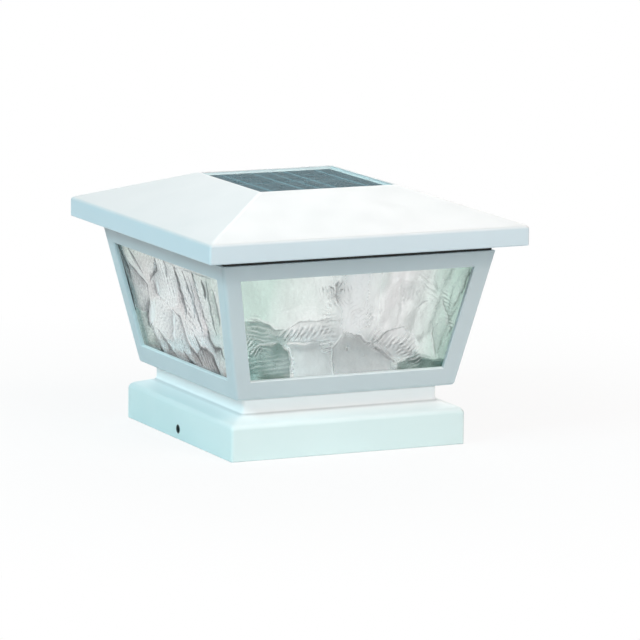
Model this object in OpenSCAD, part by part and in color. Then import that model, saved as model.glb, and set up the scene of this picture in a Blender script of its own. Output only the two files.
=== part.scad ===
// Deck post cap light: a square collar that slips over a post, a glazed lantern that widens upwards,
// and a hip roof with a solar panel that lifts off to reach the battery and the switch.
// Millimetres. The origin is the centre of the collar's bottom rim, with +Z up and -Y the front.

/* [Post] */
// Width of the square post sleeve that the collar slips over
post_w = 127; // [110:1:150]
// Clearance between the post and the collar on each side
post_clear = 1; // [0.5:0.1:2]
// Height at which the post's end meets the stop ribs
post_stop_h = 16; // [12:0.5:17]
// Diameter of the post screw's hole in the left and right walls
post_screw_d = 4; // [3:0.5:6]
// Height of the post screw's hole
post_screw_h = 5.7; // [4:0.1:9]

/* [Collar] */
// Wall of the collar and its neck
collar_wall = 2.5; // [2:0.1:3]
// Height of the collar's straight sides
collar_side_h = 16.25; // [15:0.25:24]
// Radius of the roll from the sides into the bevel
collar_roll_r = 3.5; // [3.2:0.1:5]
// Slope of the bevel, in degrees from level
bevel_slope = 18; // [12:1:26]
// Distance from the collar's side in to the neck
neck_inset = 11.4; // [9:0.2:14]
// Height of the neck above the bevel
neck_h = 8.4; // [6:0.2:14]
// Thickness of the deck that closes the neck
deck_t = 2.5; // [2:0.1:3.5]
// Thickness of a stop rib
stop_rib_t = 3; // [2:0.5:5]
// Distance of the stop ribs from the middle of each side
stop_rib_x = 30; // [15:1:45]

/* [Lantern] */
// Distance from the collar's side in to the lantern's bottom edge
frame_inset = 4.6; // [3:0.1:7]
// Height of the lantern frame
frame_h = 72.3; // [66:0.1:90]
// Width of the stiles beside each window
stile_w = 9.5; // [8.5:0.1:12]
// Height of the bottom rail, along the slope
bottom_rail_w = 10; // [9:0.1:14]
// Height of the top rail, along the slope
top_rail_w = 8.6; // [8.4:0.1:11]
// Thickness of the lip in front of the glass
lip_t = 2.2; // [1.6:0.1:3]
// How far the rebate reaches behind the lip
rebate_w = 3.2; // [2.5:0.1:3.2]
// Thickness of the lantern's floor
floor_t = 2.5; // [2:0.1:4]
// Width of a fence that holds a pane's foot
fence_w = 14; // [8:1:20]
// Thickness of a fence
fence_t = 2; // [1.5:0.1:3]
// Distance of the fences from the middle of each side
fence_x = 36; // [20:1:44]

/* [Glass] */
// Thickness of a pane
pane_t = 3; // [2.5:0.1:4]
// Gap beside and above a pane in its rebate
pane_clear = 0.5; // [0.3:0.1:1]
// Width of a pane clip
clip_w = 10; // [8:1:16]
// Thickness of a pane clip
clip_t = 1.2; // [0.8:0.1:1.5]
// Distance of the clips from the middle of each side
clip_x = 42; // [34:1:50]

/* [Roof] */
// Width across the eaves
roof_w = 181.1; // [178:0.1:200]
// Height of the fascia
fascia_h = 10.25; // [8:0.25:14]
// Rise of the roof from the fascia's top edge to its flat
roof_rise = 17.35; // [17:0.05:24]
// Wall of the roof shell
roof_wall = 2.5; // [2:0.1:3]
// Overhang of the eaves past the lantern's top edge
eave_overhang = 12.95; // [10:0.05:16]
// Height of the eave's bottom edge over the lantern's top
eave_gap = 3.6; // [3:0.1:6]
// White rim round the solar panel
rim_w = 1.5; // [1:0.1:2.5]
// Wall of the pocket that holds the solar panel
pocket_wall = 2; // [1.5:0.1:3]
// Width of the ledge under the solar panel
pocket_ledge = 5; // [3:0.5:8]
// Thickness of the ledge
ledge_t = 2.5; // [2:0.1:3]
// Diameter of a boss for a tray screw
roof_boss_d = 8; // [7:0.5:10]
// Distance of the tray screws in from the skirt, both ways
tray_screw_in = 7.8; // [6:0.1:10]

/* [Solar panel] */
// Width of the solar panel
panel_w = 76; // [70:1:78]
// Gap round the panel in its pocket
panel_clear = 0.25; // [0.2:0.05:0.5]
// Depth of the panel's face below the rim
panel_inset = 0.3; // [0.1:0.1:1]
// Thickness of the cover glass
cover_t = 2.5; // [2:0.1:3.2]
// Thickness of the layer of cells
cells_t = 0.4; // [0.3:0.1:0.6]
// Bare margin round the cells
cells_margin = 1.5; // [1:0.5:4]
// Thickness of the backing board
backing_t = 1.6; // [1:0.1:2]
// Thickness of the foam seal under the panel
seal_t = 0.6; // [0.4:0.1:1]

/* [Roof seal] */
// Width of the seal on the lantern's top edge
gasket_w = 3.2; // [2.5:0.1:3.6]
// Distance from the lantern's outer face in to the seal
gasket_inset = 1.6; // [1:0.1:1.8]

/* [Tray] */
// Thickness of the tray's plate
tray_t = 2.5; // [2:0.1:3]
// Depth of the tray's face above the eave's bottom edge
tray_inset = 0.4; // [0.2:0.1:1]
// Gap between the tray and the roof shell
tray_clear = 0.4; // [0.3:0.1:1]
// Gap between the skirt that plugs into the lantern and the heads of the clip screws
skirt_clear = 1; // [0.5:0.1:2]
// Depth of the skirt
skirt_h = 8; // [6:0.5:10]
// Wall of the skirt
skirt_t = 2; // [1.5:0.1:3]
// Distance of the locating ribs from the middle of each side
nub_x = 20; // [10:1:30]
// Thickness of a locating rib
nub_t = 2; // [1.5:0.1:3]

/* [Circuit board] */
// Width of the circuit board
board_w = 64; // [60:1:70]
// Depth of the circuit board
board_d = 52; // [50:1:53]
// Thickness of the circuit board
board_t = 1.6; // [1:0.1:2]
// Distance from the lamp's axis to the board's back edge
board_back = 16; // [14:1:18]
// Height of the posts that carry the board
board_post_h = 5; // [4.8:0.1:6]
// Diameter of these posts
board_post_d = 6; // [5:0.5:7]
// Distance of the board's screws from its edges
board_screw_in = 4; // [3.5:0.1:5]
// Distance of the row of parts from the board's front edge
parts_in = 11; // [10:0.5:14]
// Position of the driver chip, sideways
chip_x = -12; // [-18:1:-8]
// Width of the driver chip
chip_w = 5; // [4:0.5:7]
// Position of the power coil, sideways
coil_x = 2; // [0:1:6]
// Diameter of the power coil
coil_d = 8; // [6:0.5:9]
// Height of the power coil
coil_h = 5.5; // [4:0.5:8]
// Position of the capacitor, sideways
capacitor_x = 18; // [14:1:20]
// Diameter of the capacitor
capacitor_d = 6; // [5:0.5:8]
// Height of the capacitor
capacitor_h = 7; // [5:0.5:9]

/* [Lamp] */
// Width of a square LED
led_w = 5; // [4:0.5:5.5]
// Height of an LED
led_h = 1.6; // [1.2:0.1:2]
// Distance of the LEDs from the lamp's axis
led_r = 5.5; // [4.8:0.1:5.8]
// Radius of the reflector's throat at the board
throat_r = 9.8; // [9.5:0.1:11]
// Radius of the hole in the tray for the lamp
lamp_hole_r = 21; // [19:0.5:22]
// Wall of the reflector
reflector_t = 0.9; // [0.7:0.1:1.2]
// Radius of the reflector's flange
reflector_flange_r = 25.2; // [24.5:0.1:25.5]
// Thickness of the reflector's flange
reflector_flange_t = 1; // [0.8:0.1:1.2]
// Radius of the lens's flange
lens_r = 28.5; // [28:0.1:29]
// Thickness of the lens's flange
lens_flange_t = 2; // [1.8:0.1:3]
// Depth of the lens's dome
lens_dome_h = 11.2; // [8:0.2:14]
// Wall of the lens
lens_wall = 2; // [1.5:0.1:2.5]
// Distance of the lens's screws from the lamp's axis
lens_screw_r = 30; // [29.5:0.1:30.5]
// Diameter of the lens's ears
lens_ear_d = 7; // [6.5:0.1:7.5]

/* [Battery] */
// Diameter of the rechargeable cell
cell_d = 14.2; // [13.5:0.1:14.5]
// Length of the cell
cell_l = 50; // [48:0.5:50.5]
// Length of the battery bay
bay_l = 58; // [57:0.5:60]
// Distance from the lamp's axis to the cell's axis
bay_y = 41; // [40.5:0.1:41.5]
// Gap round the cell in its bay
cell_clear = 0.5; // [0.4:0.1:0.7]
// Wall of the bay
bay_wall = 1.6; // [1.4:0.1:1.8]
// Thickness of a contact plate
contact_t = 0.5; // [0.3:0.1:0.8]
// Width of a contact plate
contact_w = 12; // [8:1:14]
// Width of a contact's solder tab
tab_w = 3; // [2:0.5:4]
// How far a solder tab stands out of the bay
tab_out = 3; // [2:0.5:4]
// Height of the solder tabs above the cell's axis
tab_rise = 3.5; // [2:0.1:4.5]
// Diameter of the contact spring's wire
spring_wire_d = 0.8; // [0.6:0.1:1]
// Turns of the contact spring
spring_turns = 4; // [3:1:5]
// Radius of the contact spring at the plate
spring_r1 = 4.5; // [4:0.1:5]
// Radius of the contact spring at the cell
spring_r2 = 3; // [2.5:0.1:4]

/* [Battery door] */
// Overlap of the door past the bay's inside on each side
door_lap = 0.8; // [0.6:0.1:0.9]
// Gap round the door
door_clear = 0.35; // [0.3:0.05:0.5]
// Distance from the door's back edge to the hinge pin's axis
hinge_reach = 2.2; // [2.1:0.1:2.6]
// Radius of the hinge knuckle
knuckle_r = 1.9; // [1.7:0.1:2]
// Length of the hinge knuckle
knuckle_l = 44; // [30:1:46]
// Diameter of the hinge pin
hinge_pin_d = 1.5; // [1.2:0.1:1.6]
// Radial clearance of the pin in the door's knuckle
hinge_fit = 0.05; // [0.02:0.01:0.1]
// Gap that the door's back edge keeps to the rounded tray as it swings
hinge_swing = 0.15; // [0.1:0.05:0.3]
// Width of an ear beside the knuckle
hinge_ear_w = 3; // [2:0.5:4]
// Width of the fingernail recess beside the door
nail_w = 14; // [10:1:20]

/* [Switch] */
// Travel of the switch knob
switch_travel = 2.5; // [2:0.1:3]
// Position of the switch, sideways
switch_x = 18; // [17.5:0.1:18.5]
// Distance of the switch in from the board's front edge
switch_in = 8; // [7:0.1:8.5]
// Length of the knob's stem
knob_l = 3; // [2.5:0.1:3.2]
// Width of the knob's stem
knob_w = 2.4; // [2:0.1:2.8]
// How far the knob stands out below the tray
knob_out = 1.6; // [1:0.1:2.2]
// Running gap round the knob
knob_clear = 0.3; // [0.25:0.05:0.4]
// Wall of the switch body
switch_wall = 0.9; // [0.7:0.1:1]

/* [Screws] */
// Diameter of the screws into the lantern's floor and the roof
screw_d = 3; // [2.5:0.1:3.5]
// Diameter of the small screws for the clips, the board and the lens
small_screw_d = 2.2; // [1.8:0.1:2.4]
// Gap round a screw in its hole
screw_clear = 0.1; // [0.05:0.01:0.2]
// Depth of a screw's thread in its boss
screw_bite = 8; // [6:0.5:9]
// Distance of the floor screws in from the neck's outer faces
floor_screw_in = 15.6; // [10:0.2:22]
// Gap past a screw's tip in its hole
tip_gap = 0.4; // [0.2:0.1:0.6]
// Diameter of the floor screws' bosses
floor_boss_d = 9; // [8:0.5:12]

/* [Leads] */
// Diameter of an insulated lead
lead_d = 1.3; // [1:0.1:1.5]
// Straight length at a lead's ends
lead_end = 1.5; // [1:0.1:2]
// How far a battery lead bows out past its tab
lead_bow = 4; // [3:0.5:5]
// Distance of the battery leads' pads from the board's side edges
battery_pad_in = 11; // [9:0.5:13]
// Distance of the panel leads' pads on the board from the lamp's axis, sideways
board_pad_x = 6; // [4:0.5:8]
// The same, front to back
board_pad_y = -4; // [-8:0.5:-2]
// Distance of the panel leads' pads on the backing from the lamp's axis, sideways
panel_pad_x = 3; // [2:0.5:6]
// The same, front to back
panel_pad_y = 2; // [0:0.5:4]

/* [Hidden] */
$fn = 48;
cut = 1;                // overshoot of every cut past a face
seat_gap = 0.3;         // between the roof and the lantern that it rests on
head_share = 0.62;      // of a screw's diameter: the height of its head
body_white = "#EAF4F4";
steel = "silver";
brass_tone = "#C8B070";

// Collar, from its rim up to the deck that the lantern stands on.
collar_half = post_w / 2 + post_clear + collar_wall;
neck_half = collar_half - neck_inset;
roll_end = 90 - bevel_slope;
function roll_x(r) = collar_half - collar_roll_r + r * cos(roll_end);
function roll_z(r) = collar_side_h + r * sin(roll_end);
function bevel_z(r, x) = roll_z(r) + (roll_x(r) - x) * tan(bevel_slope);
bevel_top = bevel_z(collar_roll_r, neck_half);
base_h = bevel_top + neck_h;
deck_z = base_h - deck_t;

// Lantern: its sides lean out by tilt, and slant is their length along the slope.
frame_bottom_w = 2 * (collar_half - frame_inset);
frame_top_w = roof_w - 2 * eave_overhang;
tilt = atan((frame_top_w - frame_bottom_w) / 2 / frame_h);
slant = frame_h / cos(tilt);
frame_wall = lip_t + pane_t;
frame_wall_level = frame_wall / cos(tilt);
frame_top = base_h + frame_h;
function frame_half(z) = frame_bottom_w / 2 + (z - base_h) * tan(tilt);
function frame_inner(z) = frame_half(z) - frame_wall_level;
function window_half(y) = frame_bottom_w / 2 + y * sin(tilt) - stile_w;
window_foot = bottom_rail_w;
window_head = slant - top_rail_w;
inner_edge = (frame_h - frame_wall * sin(tilt)) / cos(tilt);
floor_boss_h = floor_t + screw_bite + 1;
floor_screw_x = neck_half - floor_screw_in;
fence_gap = 0.2;
fence_lap = 4;          // of a fence over a pane's foot

// Pane clips sit between the window's head and the frame's top edge.
clip_foot = window_head + 0.2;
clip_head = inner_edge - 0.3;
clip_screw_y = (window_head + rebate_w + inner_edge) / 2 - 0.2;
clip_bite = frame_wall - 1.6;

// Roof, from the eave up to the flat round the solar panel.
eave_z = frame_top + eave_gap;
fascia_top = eave_z + fascia_h;
roof_top = fascia_top + roof_rise;
roof_half = roof_w / 2;
flat_half = panel_w / 2 + panel_clear + rim_w;
roof_slope = atan(roof_rise / (roof_half - flat_half));
roof_drop = roof_wall / cos(roof_slope);
function roof_z(x) = fascia_top + (roof_half - x) * tan(roof_slope);
pocket_half = panel_w / 2 + panel_clear;
panel_z = roof_top - panel_inset;
cover_z = panel_z - cover_t;
cells_z = cover_z - cells_t;
backing_z = cells_z - backing_t;
ledge_z = backing_z - seal_t;
pocket_bottom = ledge_z - ledge_t;
opening_half = pocket_half - pocket_ledge;

// Tray, and what stands on it.
tray_z = eave_z + tray_inset;
tray_top = tray_z + tray_t;
tray_half = roof_half - roof_wall - tray_clear;
skirt_foot = tray_z - skirt_h;
skirt_half = frame_inner(skirt_foot) - (clip_t + head_share * small_screw_d) / cos(tilt) - skirt_clear;
tray_screw_x = skirt_half - skirt_t - tray_screw_in;
board_z = tray_top + board_post_h;
board_top = board_z + board_t;
board_front = board_back - board_d;
board_holes = [for (x = [-1, 1], y = [board_front + board_screw_in, board_back - board_screw_in])
               [x * (board_w / 2 - board_screw_in), y]];
lens_boss_h = board_post_h - 1;
board_bite = board_post_h - 1;
lens_bite = tray_t + lens_boss_h - 1;
parts_y = board_front + parts_in;
switch_y = board_front + switch_in;
lens_angles = [0, 120, 240];

// Battery bay and its door, which swings down about the hinge pin.
cell_z = tray_top + cell_d / 2;
bay_half_l = bay_l / 2;
bay_half_w = cell_d / 2 + cell_clear;
bay_top = cell_z + cell_d / 2 + cell_clear;
door_t = tray_t - 0.3;
door_half_l = bay_half_l + door_lap - door_clear;
door_front = bay_y - bay_half_w - door_lap + door_clear;
door_back = bay_y + bay_half_w + bay_wall + 0.1;
hinge_y = door_back + hinge_reach;
hinge_z = tray_z + knuckle_r;
ear_z = hinge_z + knuckle_r + 0.2;
tab_z = cell_z + tab_rise;
plate_x = bay_half_l - contact_t;
cell_x = plate_x - cell_l / 2;
spring_gap = bay_l - 2 * contact_t - cell_l;

// Switch, under the circuit board, with its knob through the tray.
knob_z = tray_z - knob_out;
slot_l = knob_l + switch_travel + 2 * knob_clear;
slot_w = knob_w + 2 * knob_clear;
head_l = knob_l + 1.4;
head_w = knob_w + 1;
chamber_l = head_l + switch_travel + 2 * knob_clear;
chamber_w = head_w + 2 * knob_clear;
switch_bottom = tray_top + 0.3;
chamber_z = switch_bottom + 0.6;
chamber_h = board_z - chamber_z - 0.9;
head_z = chamber_z + knob_clear;
head_h = chamber_h - 2 * knob_clear;

// A lead's route, and the frames that a tube is swept along.
function unit(v) = v / norm(v);
function heading(p, i) = unit(p[min(i + 1, len(p) - 1)] - p[max(i - 1, 0)]);
function across(v, t) = unit(v - (v * t) * t);
function sides(p, v, i = 0) = let (n = across(v, heading(p, i)))
    i == len(p) - 1 ? [n] : concat([n], sides(p, n, i + 1));
function bend(a, b, c, d, t) = 0.5 * (2 * b + (c - a) * t + (2 * a - 5 * b + 4 * c - d) * t * t
    + (3 * b - a - 3 * c + d) * t * t * t);
function smooth(p, steps) = concat([for (i = [0:len(p) - 2], s = [0:steps - 1])
    bend(p[max(i - 1, 0)], p[i], p[i + 1], p[min(i + 2, len(p) - 1)], s / steps)], [p[len(p) - 1]]);
// A lead leaves both its ends straight, square to what it is soldered to.
function lead(p, steps) = concat([p[0]], smooth([for (i = [1:len(p) - 2]) p[i]], steps),
    [p[len(p) - 1]]);

// A tube of radius r along the points p.
module tube(p, r, n = 8, first = [1, 0.2, 0.1]) {
    normals = sides(p, first);
    rings = [for (i = [0:len(p) - 1], k = [0:n - 1])
             let (u = normals[i], v = cross(heading(p, i), u))
             p[i] + r * cos(360 * k / n) * u + r * sin(360 * k / n) * v];
    ends = len(rings);
    points = concat(rings, [p[0], p[len(p) - 1]]);
    walls = [for (i = [0:len(p) - 2], k = [0:n - 1], half = [0, 1])
             let (a = i * n + k, b = i * n + (k + 1) % n)
             half == 0 ? [a, a + n, b] : [b, a + n, b + n]];
    foot = [for (k = [0:n - 1]) [ends, k, (k + 1) % n]];
    head = [for (k = [0:n - 1]) [ends + 1, ends - n + (k + 1) % n, ends - n + k]];
    polyhedron(points, concat(walls, foot, head));
}

// A square solid whose four sides all follow one half outline of [x, z] points.
function flip(p) = [for (i = [len(p) - 1:-1:0]) [-p[i][0], p[i][1]]];
module bar(p)
    rotate([90, 0, 0])
        linear_extrude(height = 2 * max([for (q = p) q[0]]) + 2, center = true)
            polygon(concat(p, flip(p)));
module mitred(p) {
    intersection() {
        bar(p);
        rotate([0, 0, 90]) bar(p);
    }
}

// A square block or ring about the axis, from z up by h.
module block(half, z, h) translate([-half, -half, z]) cube([2 * half, 2 * half, h]);
module ring(half, wall, z, h) {
    difference() {
        block(half, z, h);
        block(half - wall, z - cut, h + 2 * cut);
    }
}

// A pan head screw: its head stands below z = 0, its shank reaches up by length.
module screw(d, length) {
    head_r = d * 1.02;
    head_t = d * head_share;
    difference() {
        union() {
            translate([0, 0, -head_t]) cylinder(r = head_r, h = head_t);
            cylinder(d = d, h = length);
        }
        for (a = [0, 90])
            rotate([0, 0, a])
                translate([-d * 0.5, -d * 0.11, -head_t - cut])
                    cube([d, d * 0.22, cut + head_t * 0.6]);
    }
}
module four(x) for (a = [0:90:270]) rotate([0, 0, a]) translate([x, x, 0]) children();

// The outer face of side i: x runs along it, y up the slope and -z into the wall.
module on_side(i)
    rotate([0, 0, 90 * i])
        translate([0, -frame_bottom_w / 2, base_h])
            rotate([90 + tilt, 0, 0]) children();
module window_shape(grow, foot, head) {
    y0 = window_foot - foot;
    y1 = window_head + head;
    polygon([[-window_half(y0) - grow, y0], [window_half(y0) + grow, y0],
             [window_half(y1) + grow, y1], [-window_half(y1) - grow, y1]]);
}
module sheet(depth, t) translate([0, 0, -depth - t]) linear_extrude(height = t) children();

// Half outline of the collar: r is the roll's radius and wall what it stands inside the outer face.
function collar_outline(wall, foot, top) = concat(
    [[collar_half - wall, foot]],
    [for (a = [0:roll_end / 6:roll_end])
     [collar_half - collar_roll_r + (collar_roll_r - wall) * cos(a),
      collar_side_h + (collar_roll_r - wall) * sin(a)]],
    [[neck_half - wall, bevel_z(collar_roll_r - wall, neck_half - wall)],
     [neck_half - wall, top]]);

module base_collar() {
    rib_in = neck_half - collar_wall + 1;
    color(body_white) difference() {
        mitred(collar_outline(0, 0, base_h));
        difference() {
            mitred(collar_outline(collar_wall, -cut, deck_z));
            for (i = [0:3], s = [-1, 1])
                rotate([0, 0, 90 * i])
                    translate([rib_in, s * stop_rib_x - stop_rib_t / 2, post_stop_h])
                        cube([collar_half - rib_in - 1, stop_rib_t, bevel_top - post_stop_h - 1]);
        }
        for (s = [-1, 1])
            translate([s * (collar_half - collar_wall / 2), 0, post_screw_h])
                rotate([0, 90, 0])
                    cylinder(d = post_screw_d, h = collar_wall + 2 * cut, center = true);
        four(floor_screw_x)
            translate([0, 0, deck_z - cut])
                cylinder(d = screw_d + 2 * screw_clear, h = deck_t + 2 * cut);
    }
}

module floor_screws()
    color(steel) four(floor_screw_x)
        translate([0, 0, deck_z]) screw(screw_d, deck_t + floor_t + screw_bite);

module lantern_frame() {
    color(body_white) difference() {
        union() {
            difference() {
                mitred([[frame_bottom_w / 2, base_h], [frame_top_w / 2, frame_top]]);
                mitred([[frame_inner(base_h + floor_t), base_h + floor_t],
                        [frame_inner(frame_top + cut), frame_top + cut]]);
            }
            four(floor_screw_x)
                translate([0, 0, base_h + floor_t - 0.5])
                    cylinder(d = floor_boss_d, h = floor_boss_h - floor_t + 0.5);
            for (i = [0:3], s = [-1, 1])
                on_side(i)
                    sheet(frame_wall + fence_gap, fence_t)
                        translate([s * fence_x - fence_w / 2, 0.5])
                            square([fence_w, window_foot - rebate_w + fence_lap - 0.5]);
        }
        for (i = [0:3])
            on_side(i) {
                sheet(-cut, lip_t + 2 * cut) window_shape(0, 0, 0);
                sheet(lip_t, pane_t + fence_gap / 2) window_shape(rebate_w, rebate_w, rebate_w);
            }
        four(floor_screw_x)
            translate([0, 0, base_h - cut])
                cylinder(d = screw_d + 2 * screw_clear, h = cut + floor_t + screw_bite + tip_gap);
        for (i = [0:3], s = [-1, 1])
            on_side(i)
                translate([s * clip_x, clip_screw_y, -frame_wall - cut])
                    cylinder(d = small_screw_d + 2 * screw_clear, h = cut + clip_bite + tip_gap);
    }
}

module pane(i)
    on_side(i)
        sheet(lip_t, pane_t)
            window_shape(rebate_w - pane_clear, rebate_w, rebate_w - pane_clear);
module pane_front() color("#D4E2DC", 0.6) pane(0);
module pane_right() color("#D4E2DC", 0.6) pane(1);
module pane_back() color("#D4E2DC", 0.6) pane(2);
module pane_left() color("#DAD6DA", 0.6) pane(3);

module pane_clips() {
    color(steel) for (i = [0:3], s = [-1, 1])
        on_side(i)
            difference() {
                sheet(frame_wall, clip_t)
                    translate([s * clip_x - clip_w / 2, clip_foot])
                        square([clip_w, clip_head - clip_foot]);
                translate([s * clip_x, clip_screw_y, -frame_wall - clip_t - cut])
                    cylinder(d = small_screw_d + 2 * screw_clear, h = clip_t + 2 * cut);
            }
}

module clip_screws()
    color(steel) for (i = [0:3], s = [-1, 1])
        on_side(i)
            translate([s * clip_x, clip_screw_y, -frame_wall - clip_t])
                screw(small_screw_d, clip_t + clip_bite);

module roof_gasket()
    color("#1C2022")
        ring(frame_top_w / 2 - gasket_inset, gasket_w, frame_top, tray_z - frame_top - seat_gap);

module roof_shell() {
    color(body_white) difference() {
        mitred([[roof_half, eave_z], [roof_half, fascia_top], [flat_half, roof_top]]);
        difference() {
            mitred([[roof_half - roof_wall, eave_z - cut],
                    [roof_half - roof_wall, roof_z(roof_half - roof_wall) - roof_drop],
                    [flat_half, roof_z(flat_half) - roof_drop]]);
            block(pocket_half + pocket_wall, pocket_bottom, roof_top - pocket_bottom);
            four(tray_screw_x)
                translate([0, 0, tray_top]) cylinder(d = roof_boss_d, h = roof_top - tray_top);
        }
        block(pocket_half, ledge_z, roof_top - ledge_z + cut);
        block(opening_half, pocket_bottom - cut, ledge_t + 2 * cut);
        four(tray_screw_x)
            translate([0, 0, tray_top - cut])
                cylinder(d = screw_d + 2 * screw_clear, h = cut + screw_bite + tip_gap);
    }
}

module solar_glass() color("#7C9096", 0.5) block(panel_w / 2, cover_z, cover_t);
module solar_cells() color("#3C4C5C") block(panel_w / 2 - cells_margin, cells_z, cells_t);
module solar_backing() color("#D8DCD4") block(panel_w / 2, backing_z, backing_t);
module panel_seal() color("#202326") ring(panel_w / 2, pocket_ledge - 1, ledge_z, seal_t);

module skirt_nub()
    rotate([90, 0, 0])
        linear_extrude(height = nub_t, center = true)
            polygon([[skirt_half - 0.5, tray_z + 0.5], [skirt_half - 0.5, skirt_foot],
                     [frame_inner(skirt_foot) - seat_gap, skirt_foot],
                     [frame_inner(frame_top) - seat_gap, frame_top],
                     [frame_inner(frame_top) - seat_gap, tray_z + 0.5]]);

module bay_walls() {
    wall_l = 2 * (bay_half_l + bay_wall);
    wall_w = 2 * (bay_half_w + bay_wall);
    translate([-wall_l / 2, bay_y - wall_w / 2, tray_top - 0.5])
        cube([wall_l, wall_w, bay_top + bay_wall - tray_top + 0.5]);
}

module roof_tray() {
    door_hole_l = 2 * (bay_half_l + door_lap);
    door_hole_y = bay_y - bay_half_w - door_lap;
    notch_l = knuckle_l + 2 * door_clear;
    color(body_white) difference() {
        union() {
            block(tray_half, tray_z, tray_t);
            ring(skirt_half, skirt_t, skirt_foot, skirt_h + 0.5);
            for (i = [0:3], s = [-1, 1])
                rotate([0, 0, 90 * i]) translate([0, s * nub_x, 0]) skirt_nub();
            bay_walls();
            for (s = [-1, 1])
                translate([s * (notch_l + hinge_ear_w) / 2 - hinge_ear_w / 2, door_back + door_clear,
                           tray_z])
                    cube([hinge_ear_w, 2 * hinge_reach, ear_z - tray_z]);
            for (p = board_holes)
                translate([p[0], p[1], tray_top - 0.5])
                    cylinder(d = board_post_d, h = board_post_h + 0.5);
            for (a = lens_angles)
                rotate([0, 0, a])
                    translate([lens_screw_r, 0, tray_top - 0.5])
                        cylinder(d = board_post_d, h = lens_boss_h + 0.5);
        }
        translate([0, 0, tray_z - cut]) cylinder(r = lamp_hole_r, h = tray_t + 2 * cut);
        translate([-bay_half_l, bay_y - bay_half_w, tray_z - cut])
            cube([bay_l, 2 * bay_half_w, bay_top - tray_z + cut]);
        translate([-door_hole_l / 2, door_hole_y, tray_z - cut])
            cube([door_hole_l, door_back + door_clear - door_hole_y, tray_t + cut]);
        translate([-notch_l / 2, door_back - door_clear, tray_z - cut])
            cube([notch_l, hinge_y + knuckle_r + 2 * door_clear - door_back, ear_z - tray_z + 2 * cut]);
        difference() {
            translate([-door_hole_l / 2, hinge_y - hinge_reach, tray_z - cut])
                cube([door_hole_l, hinge_reach, knuckle_r + cut]);
            translate([0, hinge_y, hinge_z])
                rotate([0, 90, 0])
                    cylinder(r = hinge_reach - hinge_swing, h = door_hole_l + 2 * cut, center = true);
        }
        translate([-nail_w / 2, door_hole_y - 3, tray_z - cut]) cube([nail_w, 3 + cut, cut + 1.2]);
        translate([0, hinge_y, hinge_z])
            rotate([0, 90, 0])
                cylinder(d = hinge_pin_d + 0.06, h = notch_l + 2 * hinge_ear_w + cut, center = true);
        for (s = [-1, 1])
            translate([s * (bay_half_l + bay_wall / 2), bay_y, tab_z + contact_t / 2])
                cube([bay_wall + cut, tab_w + 0.6, contact_t + 0.6], center = true);
        for (p = board_holes)
            translate([p[0], p[1], board_z - board_bite - tip_gap])
                cylinder(d = small_screw_d + 2 * screw_clear, h = board_bite + tip_gap + cut);
        for (a = lens_angles)
            rotate([0, 0, a])
                translate([lens_screw_r, 0, tray_z - cut])
                    cylinder(d = small_screw_d + 2 * screw_clear, h = cut + lens_bite + tip_gap);
        four(tray_screw_x)
            translate([0, 0, tray_z - cut])
                cylinder(d = screw_d + 2 * screw_clear, h = tray_t + 2 * cut);
        translate([switch_x, switch_y, tray_z + tray_t / 2])
            cube([slot_l, slot_w, tray_t + 2 * cut], center = true);
    }
}

module tray_screws()
    color(steel) four(tray_screw_x) translate([0, 0, tray_z]) screw(screw_d, tray_t + screw_bite);

module circuit_board() {
    color("#2E6B45") difference() {
        translate([-board_w / 2, board_front, board_z]) cube([board_w, board_d, board_t]);
        for (p = board_holes)
            translate([p[0], p[1], board_z - cut])
                cylinder(d = small_screw_d + 2 * screw_clear, h = board_t + 2 * cut);
    }
}

module board_screws()
    color(steel) for (p = board_holes)
        translate([p[0], p[1], board_top])
            mirror([0, 0, 1]) screw(small_screw_d, board_t + board_bite);

module driver_chip() {
    body = [chip_w, 4, 1.5];
    leg = [0.4, 1, 0.6];
    pitch = chip_w / 4;
    color("#26282A") translate([chip_x, parts_y, board_top]) {
        translate([-body[0] / 2, -body[1] / 2, 0.2]) cube(body);
        for (i = [-1.5:1.5], s = [-1, 1])
            translate([i * pitch, s * (body[1] + leg[1]) / 2, leg[2] / 2]) cube(leg, center = true);
    }
}

module power_coil() {
    rim_r = coil_d / 2;
    core_r = rim_r - 0.8;
    rim_h = 1;
    chamfer = 0.3;
    color("#7A4A2A") translate([coil_x, parts_y, board_top])
        rotate_extrude()
            polygon([[0, 0], [rim_r, 0], [rim_r, rim_h], [core_r, rim_h + chamfer],
                     [core_r, coil_h - rim_h - chamfer], [rim_r, coil_h - rim_h], [rim_r, coil_h],
                     [0, coil_h]]);
}

module capacitor() {
    can_r = capacitor_d / 2;
    groove = 0.3;
    groove_h = 1.5;
    color("#303A5A") translate([capacitor_x, parts_y, board_top])
        rotate_extrude()
            polygon([[0, 0], [can_r, 0], [can_r, groove_h - groove], [can_r - groove, groove_h],
                     [can_r, groove_h + groove], [can_r, capacitor_h], [0, capacitor_h]]);
}

module leds()
    color("#F2E6A0") for (a = [45:90:315])
        rotate([0, 0, a])
            translate([led_r, 0, board_z - led_h / 2])
                rotate([0, 0, -a]) cube([led_w, led_w, led_h], center = true);

module reflector() {
    mouth_r = lamp_hole_r - 0.4;
    flange_z = tray_z - reflector_flange_t;
    throat_z = board_z - 0.4;
    color("#DCDEE0") rotate_extrude()
        polygon([[throat_r, throat_z], [mouth_r - reflector_t, flange_z],
                 [reflector_flange_r, flange_z], [reflector_flange_r, tray_z], [mouth_r, tray_z],
                 [throat_r + reflector_t, throat_z]]);
}

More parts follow.
